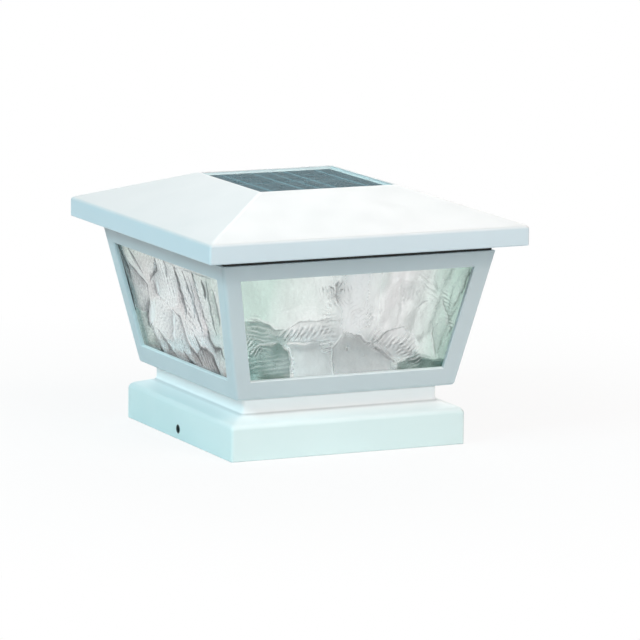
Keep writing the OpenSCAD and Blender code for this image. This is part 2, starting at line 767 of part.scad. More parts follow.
module lamp_lens() {
    seat_r = reflector_flange_r + 0.3;
    dome_r = seat_r + 0.2;
    dome_z = tray_z - lens_flange_t;
    ledge = tray_z - reflector_flange_t;
    color("#F4F4EE", 0.7) difference() {
        union() {
            rotate_extrude()
                polygon(concat(
                    [for (a = [90:-10:0]) [dome_r * cos(a), dome_z - lens_dome_h * sin(a)]],
                    [[lens_r, dome_z], [lens_r, tray_z], [seat_r, tray_z], [seat_r, ledge],
                     [dome_r - lens_wall, ledge]],
                    [for (a = [0:10:90]) [(dome_r - lens_wall) * cos(a),
                     dome_z - (lens_dome_h - lens_wall) * sin(a)]]));
            for (a = lens_angles)
                rotate([0, 0, a])
                    difference() {
                        translate([lens_screw_r, 0, dome_z])
                            cylinder(d = lens_ear_d, h = lens_flange_t);
                        translate([0, 0, dome_z - cut])
                            cylinder(r = lens_r - 0.5, h = lens_flange_t + 2 * cut);
                    }
        }
        for (a = lens_angles)
            rotate([0, 0, a])
                translate([lens_screw_r, 0, dome_z - cut])
                    cylinder(d = small_screw_d + 2 * screw_clear, h = lens_flange_t + 2 * cut);
    }
}

module lens_screws()
    color(steel) for (a = lens_angles)
        rotate([0, 0, a])
            translate([lens_screw_r, 0, tray_z - lens_flange_t])
                screw(small_screw_d, lens_flange_t + lens_bite);

module battery_cell() {
    nub_h = 1.2;
    color("#5F9E6E") translate([cell_x, bay_y, cell_z])
        rotate([0, 90, 0])
            union() {
                translate([0, 0, -cell_l / 2]) cylinder(d = cell_d, h = cell_l - nub_h);
                translate([0, 0, cell_l / 2 - nub_h]) cylinder(d = 5.5, h = nub_h);
            }
}

module contact_spring() {
    rings = 8 * spring_turns;
    wire_r = spring_wire_d / 2;
    run = spring_gap - spring_wire_d;
    coil = [for (i = [0:rings])
            let (t = i / rings, r = spring_r1 + (spring_r2 - spring_r1) * t)
            [-plate_x + wire_r + run * t, bay_y + r * cos(45 * i), cell_z + r * sin(45 * i)]];
    color(steel) tube(coil, wire_r, 6);
}

module contact_plates() {
    plate_h = 12;
    color(brass_tone) for (s = [-1, 1])
        translate([s * (plate_x + contact_t / 2), bay_y, 0]) {
            translate([-contact_t / 2, -contact_w / 2, cell_z - plate_h / 2])
                cube([contact_t, contact_w, plate_h]);
            translate([s > 0 ? 0 : -tab_out - bay_wall, -tab_w / 2, tab_z])
                cube([tab_out + bay_wall, tab_w, contact_t]);
        }
}

module battery_door() {
    color(body_white) difference() {
        union() {
            translate([-door_half_l, door_front, tray_z])
                cube([2 * door_half_l, door_back - door_front, door_t]);
            translate([-knuckle_l / 2, door_back - 1, tray_z])
                cube([knuckle_l, hinge_reach + 1, door_t]);
            translate([0, hinge_y, hinge_z])
                rotate([0, 90, 0]) cylinder(r = knuckle_r, h = knuckle_l, center = true);
        }
        translate([0, hinge_y, hinge_z])
            rotate([0, 90, 0])
                cylinder(d = hinge_pin_d + 2 * hinge_fit, h = knuckle_l + 2 * cut, center = true);
    }
}

module hinge_pin()
    color(steel) translate([0, hinge_y, hinge_z])
        rotate([0, 90, 0])
            cylinder(d = hinge_pin_d, h = knuckle_l + 2 * (door_clear + hinge_ear_w) - 0.4,
                     center = true);

module switch_body() {
    color("#3A3D40") translate([switch_x, switch_y, 0]) difference() {
        translate([-chamber_l / 2 - switch_wall, -chamber_w / 2 - switch_wall, switch_bottom])
            cube([chamber_l + 2 * switch_wall, chamber_w + 2 * switch_wall, board_z - switch_bottom]);
        translate([-chamber_l / 2, -chamber_w / 2, chamber_z]) cube([chamber_l, chamber_w, chamber_h]);
        translate([-slot_l / 2, -slot_w / 2, switch_bottom - cut])
            cube([slot_l, slot_w, chamber_z - switch_bottom + 2 * cut]);
    }
}

module switch_knob() {
    color("#202224") translate([switch_x - switch_travel / 2, switch_y, 0]) {
        translate([-knob_l / 2, -knob_w / 2, knob_z]) cube([knob_l, knob_w, head_z - knob_z + 0.5]);
        translate([-head_l / 2, -head_w / 2, head_z]) cube([head_l, head_w, head_h]);
    }
}

module panel_leads() {
    for (s = [-1, 1])
        color(s < 0 ? "#B03028" : "#202020")
            tube(lead([[s * panel_pad_x, panel_pad_y, backing_z],
                       [s * panel_pad_x, panel_pad_y, backing_z - lead_end],
                       [s * (panel_pad_x + board_pad_x) / 2, (panel_pad_y + board_pad_y) / 2,
                        (backing_z + board_top) / 2],
                       [s * board_pad_x, board_pad_y, board_top + lead_end],
                       [s * board_pad_x, board_pad_y, board_top]], 4), lead_d / 2);
}

module battery_leads() {
    start = bay_half_l + bay_wall + tab_out - contact_t / 2;
    mid = tab_z + contact_t / 2;
    pad_x = board_w / 2 - battery_pad_in;
    pad_y = board_back - battery_pad_in / 2;
    for (s = [-1, 1])
        color(s > 0 ? "#B03028" : "#202020")
            tube(lead([[s * start, bay_y, mid], [s * (start + lead_end), bay_y, mid],
                       [s * (start + lead_bow), bay_y - lead_bow, mid - lead_end],
                       [s * (start + lead_end), (bay_y + pad_y) / 2 - lead_bow,
                        board_top + 2 * lead_end],
                       [s * pad_x, pad_y, board_top + lead_end], [s * pad_x, pad_y, board_top]], 4),
                 lead_d / 2);
}

base_collar();
floor_screws();
lantern_frame();
pane_front();
pane_right();
pane_back();
pane_left();
pane_clips();
clip_screws();
roof_gasket();
roof_shell();
solar_glass();
solar_cells();
solar_backing();
panel_seal();
roof_tray();
tray_screws();
circuit_board();
board_screws();
driver_chip();
power_coil();
capacitor();
leds();
reflector();
lamp_lens();
lens_screws();
battery_cell();
contact_spring();
contact_plates();
battery_door();
hinge_pin();
switch_body();
switch_knob();
panel_leads();
battery_leads();
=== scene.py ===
# Deck post cap light: the looks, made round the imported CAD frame.
# Metres in the CAD's frame: +Z up, -Y the front, the origin under the middle of the collar's rim.
import math
import random

import bmesh
import bpy
import numpy as np
from mathutils import Matrix, Vector


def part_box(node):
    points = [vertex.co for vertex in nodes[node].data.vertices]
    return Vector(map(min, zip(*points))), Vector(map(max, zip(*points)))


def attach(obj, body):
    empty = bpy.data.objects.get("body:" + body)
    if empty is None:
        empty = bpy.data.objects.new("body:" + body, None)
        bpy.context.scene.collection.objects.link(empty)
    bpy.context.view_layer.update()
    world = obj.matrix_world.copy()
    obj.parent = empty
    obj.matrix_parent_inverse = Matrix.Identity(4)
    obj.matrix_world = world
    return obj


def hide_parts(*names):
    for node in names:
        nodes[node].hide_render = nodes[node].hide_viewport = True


mm = 0.001
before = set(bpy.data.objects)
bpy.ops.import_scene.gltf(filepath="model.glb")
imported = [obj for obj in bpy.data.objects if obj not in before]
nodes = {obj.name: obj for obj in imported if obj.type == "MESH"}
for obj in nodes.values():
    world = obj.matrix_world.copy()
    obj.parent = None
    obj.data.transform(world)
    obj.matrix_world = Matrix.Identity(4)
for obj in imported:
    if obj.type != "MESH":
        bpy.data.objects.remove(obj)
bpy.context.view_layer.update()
scene = bpy.context.scene
scene.view_settings.view_transform = "Standard"
print("frame loaded:", len(nodes), "nodes")


# Helpers for node trees

def linear(hexText):
    # an sRGB hex value as the linear colour that a shader takes
    parts = [int(hexText[i:i + 2], 16) / 255 for i in (1, 3, 5)]
    return [c / 12.92 if c <= 0.04045 else ((c + 0.055) / 1.055) ** 2.4 for c in parts] + [1.0]


def addNode(tree, kind, **given):
    # one node: in_Base_Color or i2 names a socket, for a value or a link, and any other word a setting
    node = tree.nodes.new(kind if "Node" in kind else "ShaderNode" + kind)
    for key, value in given.items():
        if not key.startswith("in_") and not key[1:].isdigit():
            setattr(node, key, value)
            continue
        socket = node.inputs[int(key[1:])] if key[1:].isdigit() else node.inputs[key[3:].replace("_", " ")]
        if isinstance(value, bpy.types.Node):
            value = next(output for output in value.outputs if output.enabled)
        if isinstance(value, bpy.types.NodeSocket):
            tree.links.new(value, socket)
        else:
            socket.default_value = value
    return node


def newMaterial(name):
    # an empty material, its tree, and the piece's own coordinates for its patterns
    material = bpy.data.materials.new(name)
    material.use_nodes = True
    tree = material.node_tree
    tree.nodes.clear()
    return material, tree, addNode(tree, "TexCoord").outputs["Object"]


def closeMaterial(material, shader):
    addNode(material.node_tree, "OutputMaterial", i0=shader)
    return material


def layered(tree, base, *layers):
    # a colour under others; between start and end of its value a layer's share goes from low to high
    tone = linear(base)
    for value, start, end, low, high, colour in layers:
        share = addNode(tree, "MapRange", i0=value, i1=start, i2=end, i3=low, i4=high)
        tone = addNode(tree, "Mix", data_type="RGBA", i0=share, i6=tone, i7=linear(colour))
    return tone


# Camera, light and floor

view = {
    "azimuth": -25.35, "elevation": 9.8, "roll": -0.7,   # degrees
    "distance": 2.592, "lens": 277.1, "sensor": 36, "target": (0, 0, 0.055),
    "aimRight": 0.01305, "aimUp": 0.00426,               # metres past the target
}
lamps = {
    # name: place, width, watts, colour
    "overhead": ((0.4, -1.3, 1.7), 1.2, 16.2, "#FFE8DE"),
    "front": ((0.5, -1.95, 0.55), 1.0, 10.0, "#FCFDFF"),
    "left": ((-1.65, -0.5, 1.3), 1.0, 28, "#D0F6FF"),
    "back": ((0.9, 1.6, 1.3), 1.2, 12, "#FFFFFF"),
}
room = {"ambient": "#FFFFFF", "ambientStrength": 0.15, "floor": "#F7F8F8", "floorGlow": 0.86,
        "glowFrom": 0.08, "glowTo": 0.38, "floorSpan": 4.0, "floorDrop": 0.0001}


def makeCamera():
    a, e, r = (math.radians(view[k]) for k in ("azimuth", "elevation", "roll"))
    back = Vector((math.sin(a) * math.cos(e), -math.cos(a) * math.cos(e), math.sin(e)))
    right = Vector((math.cos(a), math.sin(a), 0))
    place = Vector(view["target"]) + back * view["distance"]
    aim = Vector(view["target"]) + right * view["aimRight"] + back.cross(right) * view["aimUp"]
    look = (place - aim).normalized()
    side = Vector((0, 0, 1)).cross(look).normalized()
    top = look.cross(side)
    turned = (side * math.cos(r) - top * math.sin(r), side * math.sin(r) + top * math.cos(r), look)
    data = bpy.data.cameras.new("camera")
    data.lens = view["lens"]
    data.sensor_width = view["sensor"]
    camera = addObject("camera", data)
    camera.matrix_world = Matrix.Translation(place) @ Matrix(turned).transposed().to_4x4()
    scene.camera = camera


def makeLamps():
    for name, (place, width, watts, tint) in lamps.items():
        data = bpy.data.lights.new(name, "AREA")
        data.shape = "DISK"
        data.size = width
        data.energy = watts
        data.color = linear(tint)[:3]
        lamp = addObject(name, data)
        aim = (Vector(place) - Vector(view["target"])).to_track_quat("Z", "Y")
        lamp.matrix_world = Matrix.Translation(place) @ aim.to_matrix().to_4x4()
        lamp.visible_transmission = False    # worked glass would throw hard sparks of the lamps


def seenDirectly(tree):
    # 1 for what the camera, glass and gloss see, 0 for the light that falls on things
    path = addNode(tree, "LightPath").outputs
    seen = path["Is Camera Ray"]
    for ray in ("Is Glossy Ray", "Is Transmission Ray"):
        seen = addNode(tree, "Math", operation="MAXIMUM", i0=seen, i1=path[ray])
    return seen


def makeRoom():
    world = bpy.data.worlds.new("studio")
    scene.world = world
    world.use_nodes = True
    tree = world.node_tree
    tree.nodes.clear()
    soft = addNode(tree, "Background", in_Color=linear(room["ambient"]), in_Strength=room["ambientStrength"])
    white = addNode(tree, "Background", in_Color=(1, 1, 1, 1), in_Strength=1.0)
    addNode(tree, "OutputWorld", i0=addNode(tree, "MixShader", i0=seenDirectly(tree), i1=soft, i2=white))

    # matt painted studio floor: keeps the soft shadow, and glows to white away from the object
    material, tree, place = newMaterial("mattPaintedFloor")
    paint = addNode(tree, "BsdfDiffuse", in_Color=linear(room["floor"]))
    glow = addNode(tree, "Emission", in_Color=(1, 1, 1, 1), in_Strength=1.0)
    reach = addNode(tree, "VectorMath", operation="LENGTH", i0=place)
    far = addNode(tree, "MapRange", i0=reach, i1=room["glowFrom"], i2=room["glowTo"], i3=room["floorGlow"])
    share = addNode(tree, "Math", operation="MULTIPLY", i0=far, i1=seenDirectly(tree))
    closeMaterial(material, addNode(tree, "MixShader", i0=share, i1=paint, i2=glow))
    span = room["floorSpan"]
    corners = [(x * span, y * span, -room["floorDrop"]) for x, y in ((-1, -1), (1, -1), (1, 1), (-1, 1))]
    floor = meshObject("floor", corners, [(0, 1, 2, 3)])
    floor.data.materials.append(material)


# Helpers for meshes

rounding = {"segments": 3, "least": 0.1, "sameWithin": 0.002,            # mm
            "sharpFrom": 20, "flatWithin": 0.5, "shadedFrom": 32}        # degrees


def addObject(name, data):
    obj = bpy.data.objects.new(name, data)
    scene.collection.objects.link(obj)
    return obj


def meshObject(name, points, faces):
    mesh = bpy.data.meshes.new(name)
    mesh.from_pydata([tuple(p) for p in points], [], faces)
    mesh.update()
    return addObject(name, mesh)


def formObject(name, form):
    mesh = bpy.data.meshes.new(name)
    form.to_mesh(mesh)
    form.free()
    return addObject(name, mesh)


def settle(obj):
    # what the modifiers make becomes the plain mesh
    graph = bpy.context.evaluated_depsgraph_get()
    baked = bpy.data.meshes.new_from_object(obj.evaluated_get(graph))
    obj.modifiers.clear()
    obj.data = baked
    return obj


def shadeFrom(obj, degrees):
    obj.data.shade_smooth()
    obj.data.set_sharp_from_angle(angle=math.radians(degrees))
    return obj


def softCopy(node, name, widthOf):
    # a merged copy of a CAD node; widthOf rounds its edges: mm, or a rule from an edge's middle to mm
    form = bmesh.new()
    form.from_mesh(nodes[node].data)
    bmesh.ops.remove_doubles(form, verts=form.verts, dist=rounding["sameWithin"] * mm)
    bmesh.ops.dissolve_limit(form, angle_limit=math.radians(rounding["flatWithin"]), verts=form.verts,
                             edges=form.edges)
    weight = form.edges.layers.float.new("bevel_weight_edge")
    widths = {}
    for edge in form.edges:
        if len(edge.link_faces) == 2 and edge.calc_face_angle() > math.radians(rounding["sharpFrom"]):
            middle = (edge.verts[0].co + edge.verts[1].co) / 2 / mm
            widths[edge] = widthOf(middle) if callable(widthOf) else widthOf
    widest = max([rounding["least"], *widths.values()])
    for edge, width in widths.items():
        edge[weight] = width / widest
    obj = formObject(name, form)
    bevel = obj.modifiers.new("rounding", "BEVEL")
    bevel.limit_method = "WEIGHT"
    bevel.width = widest * mm
    bevel.segments = rounding["segments"]
    bevel.use_clamp_overlap = False
    bevel.miter_outer = "MITER_ARC"
    shadeFrom(settle(obj), rounding["shadedFrom"])
    obj.modifiers.new("evenNormals", "WEIGHTED_NORMAL").keep_sharp = True
    return settle(obj)


def dress(obj, body, slotName, material, *replaced):
    obj.data.materials.clear()
    obj.data.materials.append(material)
    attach(obj, body)
    if replaced:
        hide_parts(*replaced)
    return obj


def dressCopies(*rows):
    # rows: node, name, body, slot, material, rounding, and perhaps a second material and its faces' test
    for node, name, body, slotName, material, width, *second in rows:
        obj = dress(softCopy(node, name, width), body, slotName, material, node)
        if second:
            obj.data.materials.append(second[0])
            for face in obj.data.polygons:
                face.material_index = int(second[1](face.center / mm))


def finish(node, material):
    # a CAD node that keeps its own shape
    mesh = nodes[node].data
    mesh.materials.clear()
    mesh.materials.append(material)


# White shells

slope = {"tilt": math.atan(15.2 / 72.3), "foot": 62.4, "base": 30.897, "length": 73.882}
shellMakeUp = {
    # each moulding's base colour, and the tone that it clouds to: one white resin throughout, the frame's
    # pair darker as painted shade and the collar's paler as painted light
    "roof": ("#EDEBEA", "#E7E7E6"), "frame": ("#C6D2D5", "#BFCCD0"), "collar": ("#DCEDEC", "#D5E8E7"),
    "inside": "#F9FAF9", "wall": 4.0,                      # painted light: the lantern's inner faces are made whiter, past this depth
    # painted shade: the dark colour of the neck's lines and of the screw hole, with the hole's height and
    # reaches (mm)
    "dustAndShade": "#364242", "holeHeight": 5.7, "holeShade": (2.1, 2.7),
    "seams": ((22.4, 0.8, 0.3), (30.1, 1.0, 0.6)),         # height, half width and share of a line of painted shade
    # painted light: the neck's colour and the heights it fades over (mm); painted shade: the fascia's colour
    # and the heights it fades out over (mm)
    "neck": "#FAFDFD", "neckFoot": (16.5, 23.0), "fascia": "#CCDAE0", "fasciaTop": (115.6, 117.4),
    # painted shade: the eave's colour, over its span of heights (mm) and share; painted highlight: the
    # ledge's colour
    "eave": "#8C9599", "eaveSpan": (93.0, 103.4), "eaveShare": 0.45, "ledge": "#E4EEF0",
    "roughness": (0.38, 0.47), "grain": 0.35, "flow": 14.0, "cloud": 55.0,
    "grainDepth": 0.012, "flowDepth": 0.03,
}


def insideWall(tree, place):
    # 1 on the lantern's inner faces, whose whiter colour is painted light that brightens what shows through
    # the glass
    spread = addNode(tree, "VectorMath", operation="ABSOLUTE", i0=place)
    across = addNode(tree, "SeparateXYZ", i0=spread).outputs
    widest = addNode(tree, "Math", operation="MAXIMUM", i0=across[0], i1=across[1])
    reach = addNode(tree, "Math", operation="MULTIPLY_ADD", i0=across[2], i1=-math.tan(slope["tilt"]),
                    i2=widest)
    wall = slope["foot"] - slope["base"] * math.tan(slope["tilt"]) - shellMakeUp["wall"]
    return addNode(tree, "Math", operation="LESS_THAN", i0=reach, i1=wall * mm)


def awayFromScrew(tree, place):
    # distance from the line of the post screw, which runs through both sides of the collar
    put = addNode(tree, "VectorMath", operation="SUBTRACT", i0=place,
                  i1=(0, 0, shellMakeUp["holeHeight"] * mm))
    flat = addNode(tree, "VectorMath", operation="MULTIPLY", i0=put, i1=(0, 1, 1))
    return addNode(tree, "VectorMath", operation="LENGTH", i0=flat)


def makeResin(part):
    # ASA, injection moulded with a fine sparked texture: an even satin white with a cool cast
    material, tree, place = newMaterial("mouldedAsaResin_" + part)
    look = shellMakeUp
    flow, cloud, grain = (addNode(tree, "TexNoise", in_Vector=place, in_Scale=1 / (look[key] * mm),
                                  in_Detail=detail)
                          for key, detail in (("flow", 2.0), ("cloud", 3.0), ("grain", 1.0)))
    height = addNode(tree, "SeparateXYZ", i0=place).outputs["Z"]
    base, shade = look[part]
    layers = [(cloud, 0.35, 0.7, 0.0, 0.6, shade)]
    if part == "roof":
        # painted shade: the fascia is darker than the slopes above it, as less light falls on its upright
        # faces
        low, high = (z * mm for z in look["fasciaTop"])
        layers.append((height, low, high, 1.0, 0.0, look["fascia"]))
    if part == "frame":
        # painted shade darkens the wall towards the eave, a painted highlight pales the up-facing ledges, and
        # painted light whitens the inside
        low, high = (z * mm for z in look["eaveSpan"])
        facing = addNode(tree, "NewGeometry").outputs["Normal"]
        upward = addNode(tree, "SeparateXYZ", i0=facing).outputs["Z"]
        layers += [(height, low, high, 0.0, look["eaveShare"], look["eave"]),
                   (upward, 0.1, 0.6, 0.0, 1.0, look["ledge"]),
                   (insideWall(tree, place), 0.0, 1.0, 0.0, 1.0, look["inside"])]
    if part == "collar":
        # painted light: the neck and the top of the bevel are made whiter against the lantern's shade on
        # them, fading out down the bevel
        low, high = (z * mm for z in look["neckFoot"])
        layers.append((height, low, high, 0.0, 1.0, look["neck"]))
        # painted shade: dark lines where the neck meets the bevel and where the lantern sits on it
        for middle, half, share in look["seams"]:
            away = addNode(tree, "Math", operation="SUBTRACT", i0=height, i1=middle * mm)
            gap = addNode(tree, "Math", operation="ABSOLUTE", i0=away)
            layers.append((gap, 0.0, half * mm, share, 0.0, look["dustAndShade"]))
        # painted shade in the post screw's hole and on its rim
        inner, outer = (r * mm for r in look["holeShade"])
        layers.append((awayFromScrew(tree, place), inner, outer, 1.0, 0.0, look["dustAndShade"]))
    low, high = look["roughness"]
    rough = addNode(tree, "MapRange", i0=flow, i1=0.3, i2=0.7, i3=low, i4=high)
    waves = addNode(tree, "Bump", in_Height=flow, in_Distance=look["flowDepth"] * mm)
    relief = addNode(tree, "Bump", in_Height=grain, in_Distance=look["grainDepth"] * mm, in_Normal=waves)
    shader = addNode(tree, "BsdfPrincipled", in_Base_Color=layered(tree, base, *layers),
                     in_Roughness=rough, in_IOR=1.49, in_Normal=relief)
    return closeMaterial(material, shader)


makeCamera()
makeLamps()
makeRoom()
print("camera, lamps and floor made")
# one white resin in three tones: the frame's darker one is painted shade, the collar's paler one painted
# light
roofResin, frameResin, collarResin = (makeResin(part) for part in ("roof", "frame", "collar"))

# a row: width of the rounding, the heights and the distances from the axis that it is for, and how
# near a corner (all mm)
always = (-999, 999)
collarEdges = (
    (1.8, always, (55.0, 999), 1.0),            # the four corners, from the rim up to the neck
    (0.8, (-1, 0.1), (66.5, 999), 999),         # the rim
    (1.5, (21.5, 23.5), (54.5, 999), 999),      # where the bevel meets the neck
)
frameEdges = (
    (2.2, always, (62.15, 999), 0.5),           # the outer face's corners
    (1.4, (-1, 31.0), (62.15, 999), 999),       # its foot
    (0.9, (33.0, 102.0), (62.15, 999), 999),    # its windows
)
roofEdges = (
    (1.4, (106.0, 999), (38.5, 999), 0.5),      # the fascia's corners and the hips
    (1.2, (116.947, 117.147), (90.0, 999), 999),    # the fascia's top
    (0.9, (-1, 107.0), (90.0, 999), 999),           # its foot
    (0.35, (134.3, 999), always, 999),          # round the solar panel
)


def roundedBy(rows, lean=0.0):
    # a rule for softCopy: the first row that an edge's middle fits; a leaning wall counts at its foot
    def rule(middle):
        x, y, z = abs(middle.x), abs(middle.y), middle.z
        reach = max(x, y) - lean * (z - slope["base"])
        for width, (low, high), (near, far), corner in rows:
            if low < z < high and near < reach < far and abs(x - y) < corner:
                return width
        return 0.0
    return rule


frameRule = roundedBy(frameEdges, math.tan(slope["tilt"]))
dressCopies(
    ("base_collar", "collar", "lantern", "white_resin", collarResin, roundedBy(collarEdges)),
    ("lantern_frame", "lanternFrame", "lantern", "white_resin", frameResin, frameRule),
    ("roof_shell", "roofShell", "roof_unit", "white_resin", roofResin, roundedBy(roofEdges)),
)
print("white shells made")


# Glass panes: pressed cathedral glass, its face worked into overlapping chipped flakes.
# A pane's own millimetres: x along the side, y up the slope from the frame's foot, depth inwards.

paneForm = {
    "lip": 2.2, "thick": 3.0, "stile": 9.5, "overlap": 2.7, "low": 6.8, "high": 67.98,
    "columns": 380, "rows": 172, "rim": 1.6, "flatRim": 0.4, "depths": (0.03, 1.6), "sharpFrom": 50,
}
chipForm = {
    # how marks cut the face and tone it: sizes across and along, depths and reaches in mm, shares
    "warp": (0.4, (9, 9)), "fray": (0.12, (2.6, 3.1), (2.8, 2.5)),
    "rippleDepth": 0.08, "ripple": (26, 60), "flakeDepth": 0.35, "flakeReach": 3.0, "flakeTilt": 0.6,
    "flakeSlant": 1.4, "flakeEdge": 0.5, "flakeDepths": (0.05, 1.0), "mottleShare": 0.14, "mottle": (7, 12),
    "grooveDepth": 0.06, "grooveBreaks": (6, 5), "creaseDepth": 0.3, "creaseReach": 4.0,
    "hammerDepth": 0.12, "hammer": (2.2, 2.6), "spark": (1.2, 1.5), "streakShade": 0.04, "streak": (3.4, 26),
    "darkest": 0.96, "ink": 0.25, "darkHaze": 0.7, "brightHaze": 0.4, "mostHaze": 0.95,
}
glassTones = {
    "clear": "#FFFFFF", "green": "#AFD6C6", "mauve": "#CDBCC0", "grey": "#D2D3D3", "smoke": "#819890",
    "pine": "#5F7D74", "bottle": "#3C6057", "dusk": "#8C7774", "ink": "#3A4041",
}
washes = {
    # tone, its share, and the ramps that bring it in: x and y weights, start, width (mm), power
    # the front is clear in the middle, bottle green towards both stiles
    "front": (("green", 0.95, ((-1, 0.15, 27.25, 30, 1.2),)), ("green", 0.9, ((1, -0.1, 20.5, 30, 1),)),
              ("bottle", 0.4, ((1, 0, 58, 12, 1), (0, 1, 45, 20, 1)))),
    # the left is a pinkish grey, greener by the corner post and darker along the foot
    "left": (("mauve", 0.65, ()), ("green", 0.55, ((1, 0, 34, 18, 1),)), ("green", 0.4, ((0, 1, 50, 18, 1),)),
             ("smoke", 0.6, ((-1, 0, 46, 16, 1),)), ("dusk", 0.9, ((0, -1, -24, 12, 1),))),
    "plain": (("green", 1.0, ((-1, 0, 18, 60, 1),)), ("green", 1.0, ((1, 0, 18, 60, 1),)),
              ("mauve", 0.5, ((0, -1, -18, 20, 1),))),
}
# frosting over the front's middle, in front of the far corner post (mm)
veilForm = {"middle": 1, "half": 13, "foot": 20, "rise": 16}

# Flakes: outline points, tone, how much of it, tilt of the chip's face (x, y), and its dish.
# Creases: points, width, painted shade, painted highlight beside it (+ right of the line, - left), step.
# Fringes: two ends of a row, stroke direction, spacing, stroke length, painted shade, painted highlight.
frontFlakes = [
    ([(-63, 42.6), (-51, 41.4), (-43.5, 37), (-36, 36.4), (-33, 31), (-38, 27.5), (-43, 29.4),
      (-50, 28.6), (-58, 25), (-62, 26)], "smoke", 0.68, (0.02, -0.03), 0.5),
    ([(-36.4, 36.5), (-31.4, 40), (-18.4, 40.4), (-7, 40), (-2, 37), (-4.5, 32.7), (-9.5, 27), (-14, 29),
      (-28, 29), (-35, 29.4)], "clear", 0.6, (0.0, 0.03), 0.6),
    ([(-37, 29.6), (-28, 29), (-14, 29), (-10, 26.4), (-8.7, 18), (-8, 5), (-33, 5), (-32, 17),
      (-34.5, 25.4)], "grey", 0.55, (-0.02, 0.0), 0.5),
    ([(-4.5, 32.7), (-0.4, 32.2), (5.5, 29.8), (9.3, 27.4), (12.9, 26), (17, 23), (25, 16.5), (31, 13),
      (33, 5), (-7, 5), (-7.4, 11), (-8.5, 18), (-9.3, 24.8), (-6.9, 28.5)], "grey", 0.8, (0.015, 0.02),
      0.6),
    ([(-57, 25.9), (-49.9, 28.7), (-42.6, 29.3), (-39.9, 29.6), (-34.9, 25.4), (-32.3, 17), (-31, 5),
      (-60, 5)], "pine", 0.95, (0.02, 0.02), 0.7),
    ([(12.9, 26), (17.2, 27.9), (21.4, 32.1), (25.9, 32.9), (31, 33.6), (37, 29), (41, 22), (38, 16.6),
      (31, 14), (24.3, 17), (17, 23)], "clear", 0.6, (0.03, -0.02), 0.5),
    ([(29, 14), (38.8, 16.2), (47.7, 15.2), (57, 14), (58, 5), (28, 5)], "bottle", 0.92, (0.0, 0.04), 0.5),
]
frontCreases = [
    ([(-63, 42.6), (-51, 41.4), (-47, 39), (-43.5, 37), (-36, 36.4)], 0.8, 0.55, -0.3, 0.5),
    ([(-36.4, 36.5), (-31.4, 40), (-25, 40.4), (-18.4, 40.3), (-7, 40)], 0.7, 0.5, -0.3, 0.5),
    ([(-4.5, 32.7), (-0.4, 32.4), (5.5, 29.9), (9.3, 27.4), (12.9, 26), (17.2, 27.9), (21.4, 32.1),
      (25.9, 33), (31, 33.8)], 0.6, 0.6, -0.35, 0.6),
    ([(-4.5, 32.7), (-6.9, 28.5), (-9.3, 24.8), (-8.5, 18.1), (-7.2, 9)], 0.5, 0.45, 0.5, 0.5),
    ([(-57, 25.9), (-49.9, 28.7), (-42.6, 29.3), (-39.9, 29.6)], 0.6, 0.4, -0.5, 0.5),
    ([(-39.9, 29.6), (-34.9, 25.4), (-32.3, 17), (-30.9, 9)], 0.6, 0.25, -0.3, 0.4),
    ([(13, 26), (17.5, 23), (22, 19), (26, 16)], 0.7, 0.6, -0.4, 0.5),
    ([(46.5, 34), (48, 27), (49.1, 22.4), (51.7, 15.5)], 0.5, 0.55, 0.3, 0.4),
    ([(51, 48), (53, 43.5), (54.8, 40), (56, 34.7), (58.5, 31.2)], 0.6, 0.5, 0.3, 0.3),
    ([(66, 64.5), (65, 61), (63.8, 56.5), (62.2, 50)], 1.2, 0.6, -0.1, 0.3),
    ([(-10.9, 61.5), (-11.4, 58), (-10.2, 55), (-11, 51.5)], 0.7, 0.6, 0.4, 0.3),
    ([(-3, 58), (-2.4, 50), (-2.6, 43), (-3.6, 38)], 1.2, 0.1, 0.25, 0.3),
    ([(27, 60), (26.4, 52), (27.4, 44), (26, 38)], 1.6, 0.12, 0.2, 0.3),
    ([(36, 44), (40, 46.5), (43, 47.6)], 0.6, 0.4, 0.2, 0.2),
    ([(-43, 46), (-36, 48), (-29, 51)], 0.9, 0.1, 0.1, 0.05),
]
frontFringes = [
    ((-35, 33.4), (-15, 34.2), (0.5, 0.86), 2.6, 8.5, 0.7, 0.9),
    ((-14, 38.8), (-12.5, 29.8), (1.0, 0.06), 2.1, 11, 0.63, 0.66),
    ((-60, 33), (-54, 26.5), (0.62, 0.78), 2.0, 8, 0.84, 0.9),
    ((-56, 38), (-48, 30.5), (0.97, -0.2), 2.2, 12, 0.49, 0.48),
    ((16, 26.5), (33, 23), (0.66, 0.75), 2.6, 12, 0.7, 0.78),
    ((15.5, 25.6), (25, 17.4), (0.75, -0.66), 2.4, 5, 0.7, 0.48),
    ((29, 21), (39, 15.5), (0.93, 0.36), 2.0, 8, 0.84, 0.6),
    ((-17, 57), (-6, 56.2), (0.3, -0.95), 1.9, 7, 0.49, 0.42),
    ((-13, 50), (-5, 49), (0.7, -0.8), 1.9, 5, 0.42, 0.42),
    ((0, 46), (9, 39), (0.85, 0.5), 2.4, 8, 0.22, 0.24),
    ((26, 52), (34, 51), (0.1, 1.0), 2.2, 9, 0.17, 0.24),
    ((52, 50), (58, 32), (0.9, -0.4), 1.9, 4, 0.7, 0.4),
    ((38, 63), (46, 49), (0.8, -0.6), 2.3, 4, 0.35, 0.2),
    ((-58, 20), (-34, 16), (1.0, 0.05), 2.4, 10, 0.3, 0.2),
]
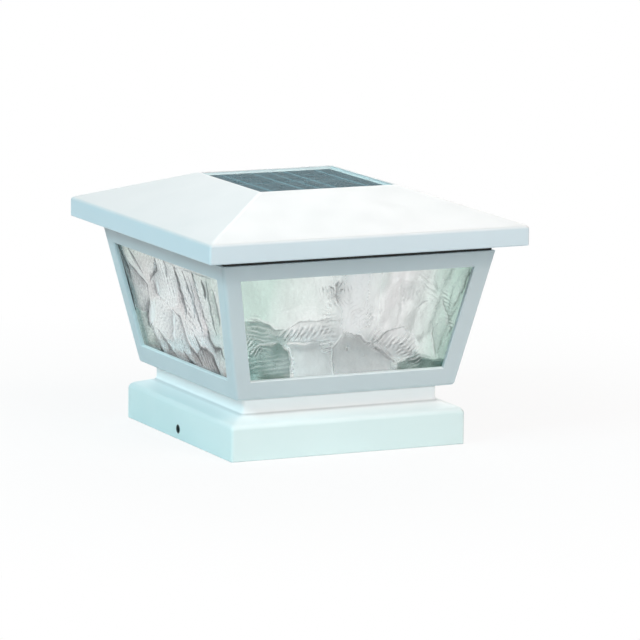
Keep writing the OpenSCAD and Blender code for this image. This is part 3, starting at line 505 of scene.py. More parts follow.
# a blow at one spot throws short chips out all round it
frontBurst = {"middle": (-11, 56), "turns": (-2.7, -2.2, -1.9, -1.5, -1.1, -0.6, -0.1, 0.4, 1.2, 1.7, 2.6),
              "from": (0.72, 1.92), "length": (3.0, 6.5), "bend": (-0.3, 0.3), "width": 0.55,
              "dark": (0.42, 0.77), "light": 0.2, "step": 0.3}
frontRosette = {"middle": (6, 41), "chips": 9, "turn": 2.4, "half": 0.5, "radius": (2.5, 8.5),
                "spacing": (1.5, 2.1), "stroke": (3.0, 5.0), "dark": 0.2, "light": 0.3}
leftFlakes = [
    ([(-74, 64), (-61, 62), (-56, 55.7), (-45, 50.2), (-36, 46), (-36.4, 38), (-41, 30),
      (-60, 30)], "grey", 0.35, (0.02, 0), 0.5),
    ([(-60, 30), (-41, 30), (-44, 26.5), (-40.4, 20.5), (-31, 9), (-66, 5),
      (-64, 20)], "green", 0.5, (0.02, 0), 0.4),
    ([(-18, 64), (-25, 53), (-30, 49), (-25, 50), (-22, 42), (-9, 38), (2, 41), (7, 50),
      (5, 64)], "clear", 0.7, (0.0, 0.02), 0.6),
    ([(-24, 42), (-9, 38.4), (-9.4, 31.2), (-13.4, 22.3), (-12, 14), (-31, 12), (-40, 20.5), (-44, 26.5),
      (-37, 37)], "clear", 0.6, (0.01, -0.01), 0.6),
    ([(-8.8, 38.4), (-6.5, 37.7), (2.2, 34.2), (4.6, 25.3), (6.2, 20.1), (8, 14), (-11.8, 14.3),
      (-13.4, 22.3), (-9.4, 31.2)], "clear", 0.7, (0.02, 0.01), 0.6),
    ([(6, 64), (9.5, 50.6), (11.6, 43.9), (8, 34), (4.6, 25.3), (15.9, 16.3), (24, 22), (30, 30),
      (33, 43.6), (28.5, 56.3), (27.8, 64)], "clear", 0.5, (0.02, 0.01), 0.7),
    ([(28, 64), (31.5, 48.7), (35.9, 36), (37.5, 28.1), (41.7, 23.4), (49.7, 24.8), (55, 40),
      (54, 64)], "green", 0.35, (0.01, 0.02), 0.6),
    ([(-36, 13), (-20, 13), (-2, 14), (14, 16), (21.8, 21), (29.5, 21.4), (36, 19), (46, 9), (52, 4),
      (-66, 4), (-60, 10)], "dusk", 0.75, (0.0, 0.03), 0.5),
]
leftCreases = [
    ([(-61.3, 61.6), (-56, 55.7), (-45.3, 50.2), (-35.2, 46.2), (-35.4, 42)], 1.2, 0.75, -0.68, 0.7),
    ([(-35.4, 42), (-37.4, 37), (-43.2, 28), (-43.4, 23), (-40.4, 20.5)], 2.2, 0.75, -0.81, 0.7),
    ([(-40.4, 20.5), (-35.1, 14.7), (-30.7, 9.9), (-27, 6)], 1.3, 0.83, -0.54, 0.7),
    ([(-17.7, 61.6), (-19, 57), (-25.4, 53.3), (-29.9, 49.3)], 1.6, 0.6, 0.41, 0.5),
    ([(-25.4, 50.6), (-24, 46), (-22.6, 42.2)], 1.4, 0.6, -0.68, 0.5),
    ([(5.1, 63.5), (7.9, 58.5), (9.5, 50.6), (11.6, 43.9), (12.5, 38)], 1.6, 0.83, -0.54, 0.7),
    ([(-8.8, 38.4), (-9.4, 31.2), (-13.4, 22.3), (-11.8, 14.3)], 1.1, 0.6, -0.81, 0.6),
    ([(-6.5, 37.7), (2.2, 34.2), (4.6, 25.3), (6.2, 20.1), (15.9, 16.3), (20, 11)], 1.4, 0.75, -0.68, 0.7),
    ([(27.8, 63.2), (28.5, 56.3), (31.5, 48.7), (33, 43.6), (35.9, 36)], 1.5, 0.75, -0.54, 0.7),
    ([(35.9, 36), (37.5, 28.1), (41.7, 23.4), (49.7, 24.8), (52, 20)], 1.8, 0.85, -0.54, 0.7),
    ([(39.3, 60.7), (40.8, 55.6), (40.9, 50.2)], 1.8, 0.75, 0.41, 0.5),
    ([(50.6, 58.2), (54.3, 52.4), (54.4, 47.1), (54, 38)], 1.3, 0.85, -0.41, 0.6),
    ([(17, 27.4), (21.8, 21.1), (29.5, 21.4), (36.1, 19.2), (40.1, 11.3),
      (45.3, 8)], 1.6, 0.85, -0.68, 0.8),
    ([(-72, 66), (-70.3, 62.4), (-65.5, 49.8), (-61.5, 38.2), (-59.2, 28.5)], 3, 0.85, -0.14, 0.6),
    ([(-66, 64), (-62, 58), (-58, 52), (-57, 46)], 2, 0.75, -0.41, 0.5),
    ([(-31.8, 21.9), (-21.7, 15.4), (-11.2, 10)], 1.3, 0.6, -0.54, 0.5),
    ([(-6.6, 63.3), (-5.9, 59.1), (-6.4, 55)], 1.6, 0.52, 0.41, 0.4),
    ([(-1.2, 15), (4.5, 10.5), (11.2, 8.4)], 1.4, 0.68, -0.41, 0.5),
    ([(16, 62), (19, 54), (23, 45), (26, 37), (29, 30)], 1.2, 0.45, 0.47, 0.5),
    ([(23, 60), (25, 50), (24, 44), (21, 36)], 1, 0.38, 0.54, 0.4),
    ([(-52, 64), (-44, 57), (-38, 52)], 1.2, 0.3, 0.47, 0.4),
    ([(46, 62), (44, 50), (45, 40), (47, 32)], 1.2, 0.45, 0.54, 0.4),
]
leftFringes = [
    ((-46, 45), (-38, 20), (1.0, 0.5), 3.2, 6, 0.25, 0.4),
    ((-18, 33), (-20, 16), (1.0, 0.35), 3.4, 8, 0.18, 0.26),
    ((8, 58), (18, 32), (0.9, -0.5), 3.6, 8, 0.25, 0.4),
    ((30, 58), (38, 34), (0.9, -0.35), 3.2, 8, 0.29, 0.4),
    ((-5, 34), (0, 20), (0.8, 0.6), 3.4, 6, 0.18, 0.32),
    ((14, 22), (34, 12), (0.5, -0.86), 3.0, 7, 0.25, 0.22),
    ((-12, 60), (2, 46), (0.25, -0.95), 3.6, 8, 0.14, 0.16),
]
sheetForm = {
    # leaves on a pane that a like sheet was cut for: places and sizes in mm, the rest in shares
    "half": 66, "middle": 35, "start": (-4, 14), "sway": (-0.25, 0.25), "rise": (15, 30), "bow": (-3.5, 3.5),
    "width": (0.8, 1.8), "dark": (0.25, 0.6), "light": (0.3, 0.6), "step": (0.4, 0.8), "wide": (0.7, 1.1),
    "tones": ("clear", "clear", "green", "mauve", "grey"), "share": (0.2, 0.6), "leanX": (-0.03, 0.03),
    "leanY": (-0.02, 0.02), "dish": (0.4, 0.7), "fringed": 0.6, "slant": (-0.6, 0.6), "spacing": (2.4, 3.4),
    "stroke": (5, 8), "strokeDark": (0.08, 0.2), "strokeLight": (0.12, 0.25), "next": (0.8, 1.0),
}


def randomChips(seed, columns, lean, force):
    # flakes, creases and fringes in columns of leaning leaves
    draw = random.Random(seed)
    form = sheetForm

    def pick(key):
        return draw.uniform(*form[key])

    flakes, creases, fringes = [], [], []
    step = 2 * form["half"] / columns
    for column in range(columns + 1):
        y = pick("start")
        while y < form["half"]:
            x = column * step - form["half"] + pick("sway") * step + lean * (y - form["middle"])
            rise, bow = pick("rise"), pick("bow")
            line = [(x + bow * math.sin(math.pi * t) + lean * rise * t, y + rise * t)
                    for t in (0, 0.25, 0.5, 0.75, 1)]
            side = draw.choice((-1, 1))
            creases.append((line, pick("width"), pick("dark") * force, side * pick("light") * force,
                            pick("step") * force))
            wide = step * pick("wide")
            leaf = line + [(p[0] + wide * math.sin(math.pi * t) ** 0.7, p[1] - 2 * t)
                           for p, t in zip(reversed(line), (0.95, 0.75, 0.5, 0.25, 0.05))]
            flakes.append((leaf, draw.choice(form["tones"]), pick("share") * force,
                           (pick("leanX"), pick("leanY")), pick("dish")))
            if draw.random() < form["fringed"]:
                fringes.append((line[1], line[3], (1.0, pick("slant")), pick("spacing"), pick("stroke"),
                                pick("strokeDark") * force, pick("strokeLight") * force))
            y += rise * pick("next")
    return flakes, creases, fringes


def fromSpot(spot, reach, turn):
    return spot[0] + reach * math.cos(turn), spot[1] + reach * math.sin(turn)


def struckSpots(seed, burst, rosette):
    # the front pane's struck spots, as creases and fringes
    draw = random.Random(seed)
    creases, fringes = [], []
    for turn in burst["turns"]:
        start, reach = draw.uniform(*burst["from"]), draw.uniform(*burst["length"])
        ends = [fromSpot(burst["middle"], start, turn),
                fromSpot(burst["middle"], reach, turn + draw.uniform(*burst["bend"]))]
        creases.append((ends, burst["width"], draw.uniform(*burst["dark"]), burst["light"], burst["step"]))
    for chip in range(rosette["chips"]):
        turn, half = rosette["turn"] * chip, rosette["half"]
        reach = draw.uniform(*rosette["radius"])
        fringes.append((fromSpot(rosette["middle"], reach, turn - half),
                        fromSpot(rosette["middle"], reach, turn + half),
                        fromSpot((0, 0), 1, turn + half), draw.uniform(*rosette["spacing"]),
                        draw.uniform(*rosette["stroke"]), rosette["dark"], rosette["light"]))
    return creases, fringes


def nearLine(x, y, line):
    # distance from each point to a polyline, the side it is on (+ to the right), and the way along
    best = np.full(x.shape, 1e9)
    side = np.zeros(x.shape)
    along = np.zeros(x.shape)
    lengths = [math.dist(a, b) for a, b in zip(line, line[1:])]
    total, done = sum(lengths), 0.0
    for (ax, ay), (bx, by), length in zip(line, line[1:], lengths):
        dx, dy = (bx - ax) / length, (by - ay) / length
        t = np.clip((x - ax) * dx + (y - ay) * dy, 0, length)
        gap = np.hypot(x - ax - t * dx, y - ay - t * dy)
        closer = gap < best
        best = np.where(closer, gap, best)
        side = np.where(closer, np.sign((x - ax) * dy - (y - ay) * dx), side)
        along = np.where(closer, (done + t) / total, along)
        done += length
    return best, side, along


def insideOutline(x, y, outline):
    inside = np.zeros(x.shape, bool)
    for (ax, ay), (bx, by) in zip(outline, outline[1:] + outline[:1]):
        if ay != by:
            inside ^= ((ay > y) != (by > y)) & (x < (bx - ax) * (y - ay) / (by - ay) + ax)
    return inside


def waveNoise(x, y, seed, size, terms=7):
    # a smooth random surface between about -1 and 1, its waves about size wide (across, along)
    draw = np.random.RandomState(seed)
    total = np.zeros(x.shape)
    for _ in range(terms):
        a, p = draw.uniform(0, 2 * math.pi, 2)
        k = draw.uniform(0.6, 1.6) * 2 * math.pi
        total += np.sin(k * (x * math.cos(a) / size[0] + y * math.sin(a) / size[1]) + p)
    return total / math.sqrt(terms) / 1.2


def blend(a, b, share):
    return a * (1 - share[..., None]) + b * share[..., None]


def washed(x, y, rows, tones):
    # the sheet's own colour, before any mark
    tone = tones["clear"]
    for name, share, ramps in rows:
        cover = np.full(x.shape, share)
        for across, along, start, width, power in ramps:
            cover *= np.clip((across * x + along * y - start) / width, 0, 1) ** power
        tone = blend(tone, tones[name], cover)
    return tone


def workGlass(x, y, make):
    # depth of the worked face in mm, and its tone as a linear colour with the haze as its alpha
    seed, broad, chip = make["seed"], make["broad"], chipForm
    flakes, creases, fringes = make["marks"]
    tones = {name: np.array(linear(text)[:3]) for name, text in glassTones.items()}
    tone = washed(x, y, washes[make["wash"]], tones)
    haze = make["veil"] * np.exp(-((x - veilForm["middle"]) / veilForm["half"]) ** 2)
    haze *= np.clip((y - veilForm["foot"]) / veilForm["rise"], 0, 1)
    (warp, warpSize), (fray, fraySizeX, fraySizeY) = chip["warp"], chip["fray"]
    warpX = x + warp * waveNoise(x, y, seed, warpSize) + fray * waveNoise(x, y, seed + 1, fraySizeX)
    warpY = y + warp * waveNoise(x, y, seed + 2, warpSize) + fray * waveNoise(x, y, seed + 3, fraySizeY)
    depth = chip["rippleDepth"] * (1.2 + waveNoise(x, y, seed + 4, chip["ripple"]))

    mottle = 1 - chip["mottleShare"] * (1 - waveNoise(x, y, seed + 5, chip["mottle"]))
    for outline, name, share, (leanX, leanY), dish in flakes:
        # a dished chip with a slanting rim
        inside = insideOutline(warpX, warpY, outline)
        gap = nearLine(warpX, warpY, outline + outline[:1])[0]
        middle = np.mean(outline, axis=0)
        face = 0.2 + dish * chip["flakeDepth"] * (1 - np.exp(-gap / chip["flakeReach"]))
        face += chip["flakeTilt"] * (leanX * (x - middle[0]) + leanY * (y - middle[1]))
        slant = inside * np.clip(gap / chip["flakeSlant"], 0, 1)
        depth = depth * (1 - slant) + np.clip(face, *chip["flakeDepths"]) * slant
        cover = inside * share * mottle * np.clip(gap / chip["flakeEdge"], 0, 1)
        haze = np.maximum(haze, make["haze"] * cover)
        tone = blend(tone, tones[name], cover)

    dark = np.zeros(x.shape)
    bright = np.zeros(x.shape)
    breaks = 0.75 + 0.35 * waveNoise(x, y, seed + 6, chip["grooveBreaks"])
    for start, end, direction, spacing, length, darkness, light in fringes:
        # a row of short grooves side by side, which fade towards their ends, with painted shade in each
        # groove and a painted highlight between
        across, along = np.array(direction) / np.hypot(*direction)
        gap, _, way = nearLine(warpX, warpY, [start, end])
        fromX, fromY = warpX - start[0], warpY - start[1]
        middle = way * ((end[0] - start[0]) * across + (end[1] - start[1]) * along)
        off = np.abs(fromX * across + fromY * along - middle)
        fade = np.clip(1 - off / (length / 2), 0, 1) ** 0.6 * np.clip(1.6 - gap / (length / 2), 0, 1) * breaks
        wave = np.sin(2 * math.pi * (fromY * across - fromX * along) / spacing)
        depth += chip["grooveDepth"] * fade * (1 + wave)
        dark = np.maximum(dark, darkness * fade * np.clip(1.25 * wave - 0.25, 0, 1))
        bright = np.maximum(bright, light * fade * np.clip(-wave, 0, 1))
    for line, narrow, darkness, light, step in creases:
        # painted shade along a step and falling off on one side, and a painted highlight on the other
        width = narrow * broad
        gap, side, way = nearLine(warpX, warpY, line)
        taper = np.clip(4 * way, 0.25, 1) * np.clip(4 * (1 - way), 0.25, 1)
        on = (way > 0.001) & (way < 0.999)
        litSide = side == math.copysign(1, light)
        core = np.exp(-(gap / (0.6 * width * taper)) ** 2) * on
        lit = np.exp(-((gap - 1.5 * width) / (0.8 * width)) ** 2) * litSide * on
        fall = np.exp(-gap / (chip["creaseReach"] * broad)) * ~litSide * taper * on
        depth += chip["creaseDepth"] * step * (fall + core)
        dark = np.maximum(dark, darkness * np.maximum(core, make["fall"] * fall))
        bright = np.maximum(bright, abs(light) * lit * taper)

    streak = waveNoise(x, y, seed + 7, chip["streak"], 9)
    stretch = broad ** 1.5
    hammer = waveNoise(x, y, seed + 8, (chip["hammer"][0] * stretch, chip["hammer"][1]), 9)
    hammer += 0.7 * waveNoise(x, y, seed + 9, (chip["spark"][0] * stretch, chip["spark"][1]), 12)
    depth += chip["hammerDepth"] * make["grain"] * hammer
    dark = np.clip(make["force"] * dark, 0, chip["darkest"])
    tone = tone * (1 + chip["streakShade"] * streak + make["grain"] * hammer)[..., None]
    # painted shade darkens the creases and grooves, and painted highlights pale them towards clear
    tone = blend(tone, tones["ink"] * chip["ink"], dark)
    tone = blend(tone, tones["clear"], bright * (1 - dark))
    haze = np.clip(haze + chip["darkHaze"] * dark + chip["brightHaze"] * bright, 0.0, chip["mostHaze"])
    return depth, np.clip(np.dstack((tone, haze)), 0.01, 1.0)


def sideMatrix(side):
    # from a pane's own millimetres (x, y, outwards) to the frame's metres
    turn = Matrix.Rotation(side * math.pi / 2, 4, "Z")
    move = Matrix.Translation((0, -slope["foot"] * mm, slope["base"] * mm))
    return turn @ move @ Matrix.Rotation(math.pi / 2 + slope["tilt"], 4, "X") @ Matrix.Scale(mm, 4)


def makePane(name, make):
    # a grid for the worked face, walls round it and a flat back
    columns, rows, low, high = (paneForm[key] for key in ("columns", "rows", "low", "high"))
    v = np.linspace(low, high, rows + 1)
    u = np.linspace(-1, 1, columns + 1)
    half = slope["foot"] + v * math.sin(slope["tilt"]) - paneForm["stile"] + paneForm["overlap"]
    x = np.outer(half, u)
    y = np.repeat(v[:, None], columns + 1, axis=1)
    depth, tone = workGlass(x, y, make)
    toEdge = np.minimum.reduce([half[:, None] - np.abs(x), y - low, high - y])
    depth = np.clip(depth, *paneForm["depths"])
    depth *= np.clip(toEdge / paneForm["rim"] - paneForm["flatRim"], 0, 1)
    points = np.stack([x, y, -paneForm["lip"] - depth], -1).reshape(-1, 3)
    across = columns + 1
    faces = [(r * across + c, r * across + c + 1, (r + 1) * across + c + 1, (r + 1) * across + c)
             for r in range(rows) for c in range(columns)]
    ring = list(range(across)) + [r * across + columns for r in range(1, rows + 1)]
    ring += [rows * across + c for c in range(columns - 1, -1, -1)]
    ring += [r * across for r in range(rows - 1, 0, -1)]
    first, count = len(points), len(ring)
    back = points[ring].copy()
    back[:, 2] = -paneForm["lip"] - paneForm["thick"]
    points = np.concatenate([points, back])
    faces += [(ring[i], first + i, first + (i + 1) % count, ring[(i + 1) % count]) for i in range(count)]
    faces.append(tuple(first + i for i in range(count - 1, -1, -1)))
    place = sideMatrix(make["side"])
    pane = meshObject(name, [place @ Vector(p) for p in points], faces)
    colours = np.ones((len(points), 4), np.float32)
    colours[:first] = tone.reshape(-1, 4)
    colours[first:, 3] = 0.0
    layer = pane.data.attributes.new("glassTone", "FLOAT_COLOR", "POINT")
    layer.data.foreach_set("color", colours.ravel())
    return shadeFrom(pane, paneForm["sharpFrom"])


def lampLit(tree, shader):
    # glass that lets the lamps' light through to what lies behind it
    lampLight = addNode(tree, "BsdfTransparent", in_Color=linear("#F4F8F7"))
    shadowRay = addNode(tree, "LightPath").outputs["Is Shadow Ray"]
    return addNode(tree, "MixShader", i0=shadowRay, i1=shader, i2=lampLight)


glassLook = {"seed": 1.6, "seedDepth": 0.03, "seedShade": 0.25, "seedTone": "#E4E7E6", "gloss": (0.08, 0.16),
             "chipped": (0.3, 0.5, 0.95), "clarity": (0.99, 0.2)}


def makeGlass():
    # pressed soda-lime cathedral glass: clear and wet looking, its flakes catch grey and green tones
    material, tree, place = newMaterial("pressedCathedralGlass")
    look = glassLook
    worked = addNode(tree, "Attribute", attribute_name="glassTone").outputs
    # the fine seed and reed of a rolled sheet
    seeds = addNode(tree, "TexNoise", in_Vector=place, in_Scale=1 / (look["seed"] * mm))
    seedShare = addNode(tree, "MapRange", i0=seeds, i1=0.45, i2=0.75, i3=0.0, i4=look["seedShade"])
    tint = addNode(tree, "Mix", data_type="RGBA", blend_type="MULTIPLY", i0=seedShare,
                   i6=worked["Color"], i7=linear(look["seedTone"]))
    smooth, dull = look["gloss"]
    gloss = addNode(tree, "MapRange", i0=seeds, i1=0.35, i2=0.7, i3=smooth, i4=dull)
    most, start, end = look["chipped"]
    chipped = addNode(tree, "MapRange", i0=worked["Alpha"], i1=start, i2=end, i3=0.0, i4=most)
    clear, hazy = look["clarity"]
    clarity = addNode(tree, "MapRange", i0=worked["Alpha"], i3=clear, i4=hazy)
    relief = addNode(tree, "Bump", in_Height=seeds, in_Distance=look["seedDepth"] * mm)
    shader = addNode(tree, "BsdfPrincipled", in_Base_Color=tint, in_IOR=1.46,
                     in_Roughness=addNode(tree, "Math", i0=gloss, i1=chipped),
                     in_Transmission_Weight=clarity, in_Normal=relief)
    return closeMaterial(material, lampLit(tree, shader))


glass = makeGlass()
struckCreases, struckFringes = struckSpots(17, frontBurst, frontRosette)
panes = {
    # the side it stands on, how hammered its face is, how broad, hazy and dark its marks are, and how much
    # painted shade falls beside a crease
    "front": {"side": 0, "seed": 11, "grain": 0.035, "broad": 1.0, "haze": 0.6, "force": 1.3, "fall": 0.45,
              "marks": (frontFlakes, frontCreases + struckCreases, frontFringes + struckFringes),
              "wash": "front", "veil": 0.95},
    "right": {"side": 1, "seed": 23, "grain": 0.08, "broad": 1.3, "haze": 0.45, "force": 1.2, "fall": 0.6,
              "marks": randomChips(5, 8, -0.38, 1.0), "wash": "plain", "veil": 0.0},
    "back": {"side": 2, "seed": 37, "grain": 0.05, "broad": 1.0, "haze": 0.6, "force": 1.2, "fall": 0.6,
             "marks": randomChips(9, 6, 0.2, 0.5), "wash": "plain", "veil": 0.0},
    "left": {"side": 3, "seed": 41, "grain": 0.15, "broad": 1.5, "haze": 0.35, "force": 1.35, "fall": 0.7,
             "marks": (leftFlakes, leftCreases, leftFringes), "wash": "left", "veil": 0.0},
}
for name, make in panes.items():
    dress(makePane(name + "Pane", make), "lantern", "textured_glass", glass, "pane_" + name)
print("panes made")


# Seal and solar panel

def makeFoam():
    # closed-cell EPDM foam, die cut: matt dark grey with an even fine pore; on the roof seal this dark is
    # painted shade, standing for the shadowed gap under the eave
    material, tree, place = newMaterial("closedCellEpdmFoam")
    pores = addNode(tree, "TexVoronoi", in_Vector=place, in_Scale=1 / (0.5 * mm))
    tone = layered(tree, "#24211F", (pores, 0.2, 0.7, 0.0, 1.0, "#3C3836"))
    relief = addNode(tree, "Bump", in_Height=pores, in_Distance=0.08 * mm)
    shader = addNode(tree, "BsdfPrincipled", in_Base_Color=tone, in_Roughness=0.85, in_Normal=relief)
    return closeMaterial(material, shader)


def makeCoverGlass():
    # tempered low-iron solar glass with a matt anti-glare face: dark slate where cells lie behind it
    material, tree, place = newMaterial("temperedSolarGlass")
    prism = addNode(tree, "TexVoronoi", in_Vector=place, in_Scale=1 / (0.9 * mm))
    dustAndShade = addNode(tree, "TexNoise", in_Vector=place, in_Scale=1 / (9.0 * mm), in_Detail=4.0,
                   in_Roughness=0.6)
    rough = addNode(tree, "MapRange", i0=dustAndShade, i1=0.35, i2=0.7, i3=0.16, i4=0.3)
    relief = addNode(tree, "Bump", in_Height=prism, in_Distance=0.01 * mm)
    shader = addNode(tree, "BsdfPrincipled", in_Base_Color=linear("#E6F2F5"), in_Roughness=rough,
                     in_IOR=1.03, in_Transmission_Weight=0.97, in_Normal=relief)
    return closeMaterial(material, lampLit(tree, shader))


def makeSilicon():
    # polycrystalline silicon wafers: crystal flakes a few millimetres wide, their pale teal partly the
    # wafers' own blue and partly painted reflection of the room in the cover glass
    material, tree, place = newMaterial("polycrystallineSilicon")
    crystals = addNode(tree, "TexVoronoi", in_Vector=place, in_Scale=1 / (3.2 * mm)).outputs["Color"]
    tone = layered(tree, "#28606E", (crystals, 0.2, 0.8, 0.0, 1.0, "#427886"))
    return closeMaterial(material, addNode(tree, "BsdfPrincipled", in_Base_Color=tone, in_Roughness=0.5,
                                           in_IOR=1.6, in_Specular_IOR_Level=0.05))


def makeSilver():
    # screen-printed silver paste: dull bright lines on the cells, tinted teal like the cells as part of their
    # painted reflection
    material, tree, place = newMaterial("printedSilverPaste")
    grain = addNode(tree, "TexNoise", in_Vector=place, in_Scale=1 / (0.3 * mm))
    tone = layered(tree, "#42747F", (grain, 0.0, 1.0, 0.0, 1.0, "#52828D"))
    return closeMaterial(material, addNode(tree, "BsdfPrincipled", in_Base_Color=tone, in_Metallic=0.6,
                                           in_Roughness=0.6, in_Specular_IOR_Level=0.1))


plasticWear = {"cloud": 12, "smoother": 0.06, "rougher": 0.06}
metalWear = {"cloud": 8, "smoother": 0.08, "rougher": 0.1}


def makeFinish(name, low, high, roughness, grainMm, depthMm, metallic=0.0):
    # a moulded, drawn or plated surface: a slow cloud in its colour and a fine grain in its relief
    material, tree, place = newMaterial(name)
    wear = metalWear if metallic else plasticWear
    cloud = addNode(tree, "TexNoise", in_Vector=place, in_Scale=1 / (grainMm * wear["cloud"] * mm),
                    in_Detail=3.0)
    grain = addNode(tree, "TexNoise", in_Vector=place, in_Scale=1 / (grainMm * mm))
    rough = addNode(tree, "MapRange", i0=cloud if metallic else grain, i1=0.3, i2=0.7,
                    i3=roughness - wear["smoother"], i4=roughness + wear["rougher"])
    relief = addNode(tree, "Bump", in_Height=grain, in_Distance=depthMm * mm)
    tone = layered(tree, low, (cloud, 0.3, 0.7, 0.0, 1.0, high))
    return closeMaterial(material, addNode(tree, "BsdfPrincipled", in_Base_Color=tone, in_Metallic=metallic,
                                           in_Roughness=rough, in_Normal=relief))


foam = makeFoam()
coverGlass = makeCoverGlass()
silicon = makeSilicon()
silver = makeSilver()
# zinc-plated carbon steel: cool bright grey with a faint cloud of passivation
zincSteel = makeFinish("zincPlatedSteel", "#A9B0B4", "#D2D6D8", 0.3, 0.25, 0.004, 1.0)
# nickel-plated spring steel, drawn: warm bright grey
nickelSteel = makeFinish("nickelPlatedSpringSteel", "#B6B0A4", "#DCD8CE", 0.24, 0.2, 0.003, 1.0)
# vacuum-metallised polycarbonate: a near mirror, slightly hazy
brightMetal = makeFinish("metallisedPolycarbonate", "#D4D8DA", "#ECEEF0", 0.14, 0.6, 0.002, 1.0)
# enamelled copper wire, close wound: warm orange brown
coilCopper = makeFinish("enamelledCopperWire", "#8A4A24", "#C4703A", 0.32, 0.2, 0.004, 1.0)
# glass-filled nylon: satin black with a fine spark
blackPlastic = makeFinish("glassFilledNylon", "#141617", "#26292B", 0.5, 0.3, 0.012)
# polyester-film laminate behind the cells: off-white, nearly matt
backingLaminate = makeFinish("polyesterBackLaminate", "#C9CEC6", "#E0E3DC", 0.6, 0.4, 0.01)
# shrunk PVC sleeve on the capacitor: dark blue and glossy
capacitorSleeve = makeFinish("shrunkPvcSleeve", "#1C2546", "#2C3A66", 0.28, 0.5, 0.008)
# silicone over yellow phosphor: a soft yellow dome
phosphor = makeFinish("phosphorFilledSilicone", "#E2C23C", "#F6E48A", 0.38, 0.25, 0.01)
# shrink sleeve on the rechargeable cell: plain green film
cellSleeve = makeFinish("cellShrinkFilm", "#3E8A56", "#5CAA72", 0.26, 0.7, 0.006)

panelForm = {"cell": 36.0, "gap": 0.8, "bar": 1.2, "barAt": 0.25, "finger": 0.18, "pitch": 2.2, "rise": 0.02}


def nodeTree(name, *sizes):
    # an empty geometry tree with named inputs: (name, kind, default)
    tree = bpy.data.node_groups.new(name, "GeometryNodeTree")
    for label, kind, value in (("Geometry", "Geometry", None), *sizes, ("Finish", "Material", None)):
        socket = tree.interface.new_socket(label, in_out="INPUT", socket_type="NodeSocket" + kind)
        if value is not None:
            socket.default_value = value
    tree.interface.new_socket("Geometry", in_out="OUTPUT", socket_type="NodeSocketGeometry")
    return tree, addNode(tree, "NodeGroupInput").outputs


def closeTree(tree, shape, given, **turned):
    # the shape on every point, made real and given its material
    copies = addNode(tree, "GeometryNodeInstanceOnPoints", i0=given["Geometry"], i2=shape, **turned)
    solid = addNode(tree, "GeometryNodeRealizeInstances", i0=copies)
    painted = addNode(tree, "GeometryNodeSetMaterial", i0=solid, i2=given["Finish"])
    addNode(tree, "NodeGroupOutput", i0=painted)
    return tree


def grow(name, tree, points, attributes, **inputs):
    # runs a geometry tree on bare points (mm) and keeps what it makes as a plain mesh
    obj = meshObject(name, [Vector(point) * mm for point in points], [])
    for label, values in attributes.items():
        layer = obj.data.attributes.new(label, "FLOAT_VECTOR", "POINT")
        layer.data.foreach_set("vector", np.array(values, np.float32).ravel())
    modifier = obj.modifiers.new("grow", "NODES")
    modifier.node_group = tree
    for item in tree.interface.items_tree:
        if item.in_out == "INPUT" and item.name in inputs:
            modifier[item.identifier] = inputs[item.name]
    return settle(obj)


def makeStampTree(name, shape, **form):
    # a copy of one shape on every point, stretched to the size that the point carries
    tree, given = nodeTree(name)
    size = addNode(tree, "GeometryNodeInputNamedAttribute", data_type="FLOAT_VECTOR", i0="size")
    return closeTree(tree, addNode(tree, shape, **form), given, in_Scale=size)


brickTree = makeStampTree("sizedBricks", "GeometryNodeMeshCube", in_Size=(1, 1, 1))
discTree = makeStampTree("sizedDiscs", "GeometryNodeMeshCylinder", in_Vertices=32, in_Radius=0.5,
                         in_Depth=1.0)


def stamped(name, tree, pieces, material):
    # pieces: (place, size) pairs in millimetres
    sizes = [[v * mm for v in size] for _, size in pieces]
    return grow(name, tree, [place for place, _ in pieces], {"size": sizes}, Finish=material)


def makePrintedLines():
    cell, gap, rise = panelForm["cell"], panelForm["gap"], panelForm["rise"]
    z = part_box("solar_cells")[1].z / mm + rise / 2
    pieces = [((0, 0, z), (gap, 2 * cell + gap, rise)), ((0, 0, z), (2 * cell + gap, gap, rise))]
    count = int(cell / panelForm["pitch"])
    for column in (-1, 1):
        for row in (-1, 1):
            x, y = column * (cell + gap) / 2, row * (cell + gap) / 2
            for bar in (-panelForm["barAt"], panelForm["barAt"]):
                pieces.append(((x + bar * cell, y, z), (panelForm["bar"], cell, rise)))
            for line in range(count):
                up = (line - (count - 1) / 2) * panelForm["pitch"]
                pieces.append(((x, y + up, z), (cell, panelForm["finger"], rise * 0.8)))
    return stamped("printedLines", brickTree, pieces, silver)


# the same rows for the seal, tray, door and knob
sealEdges = ((0.5, (-999, 104), always, 999), (0.5, (106, 999), always, 999))
trayEdges = ((0.8, always, (87, 999), 0.5), (0.4, (-999, 99.3), always, 999))
doorEdges = ((0.35, (-999, 107.3), (0, 51), 999),)      # all but the hinge ears
knobEdges = ((0.3, (-999, 106.5), always, 999),)

dressCopies(
    # the seal's dark foam is painted shade for the shadowed gap between the roof and the frame
    ("roof_gasket", "foamSeal", "lantern", "black_foam", foam, roundedBy(sealEdges)),
    ("roof_tray", "roofTray", "roof_unit", "white_resin", roofResin, roundedBy(trayEdges)),
    ("battery_door", "batteryDoor", "battery_door", "white_resin", roofResin, roundedBy(doorEdges)),
    ("switch_knob", "switchKnob", "switch_knob", "black_plastic", blackPlastic, roundedBy(knobEdges)),
    ("solar_glass", "coverGlass", "roof_unit", "cover_glass", coverGlass, 0.5),
)
finish("solar_cells", silicon)
finish("solar_backing", backingLaminate)
finish("panel_seal", foam)
dress(makePrintedLines(), "roof_unit", "silicon_cells", silver)
print("solar panel, seal and tray made")


# Screws: one tree makes each set, on points that carry the way each screw looks

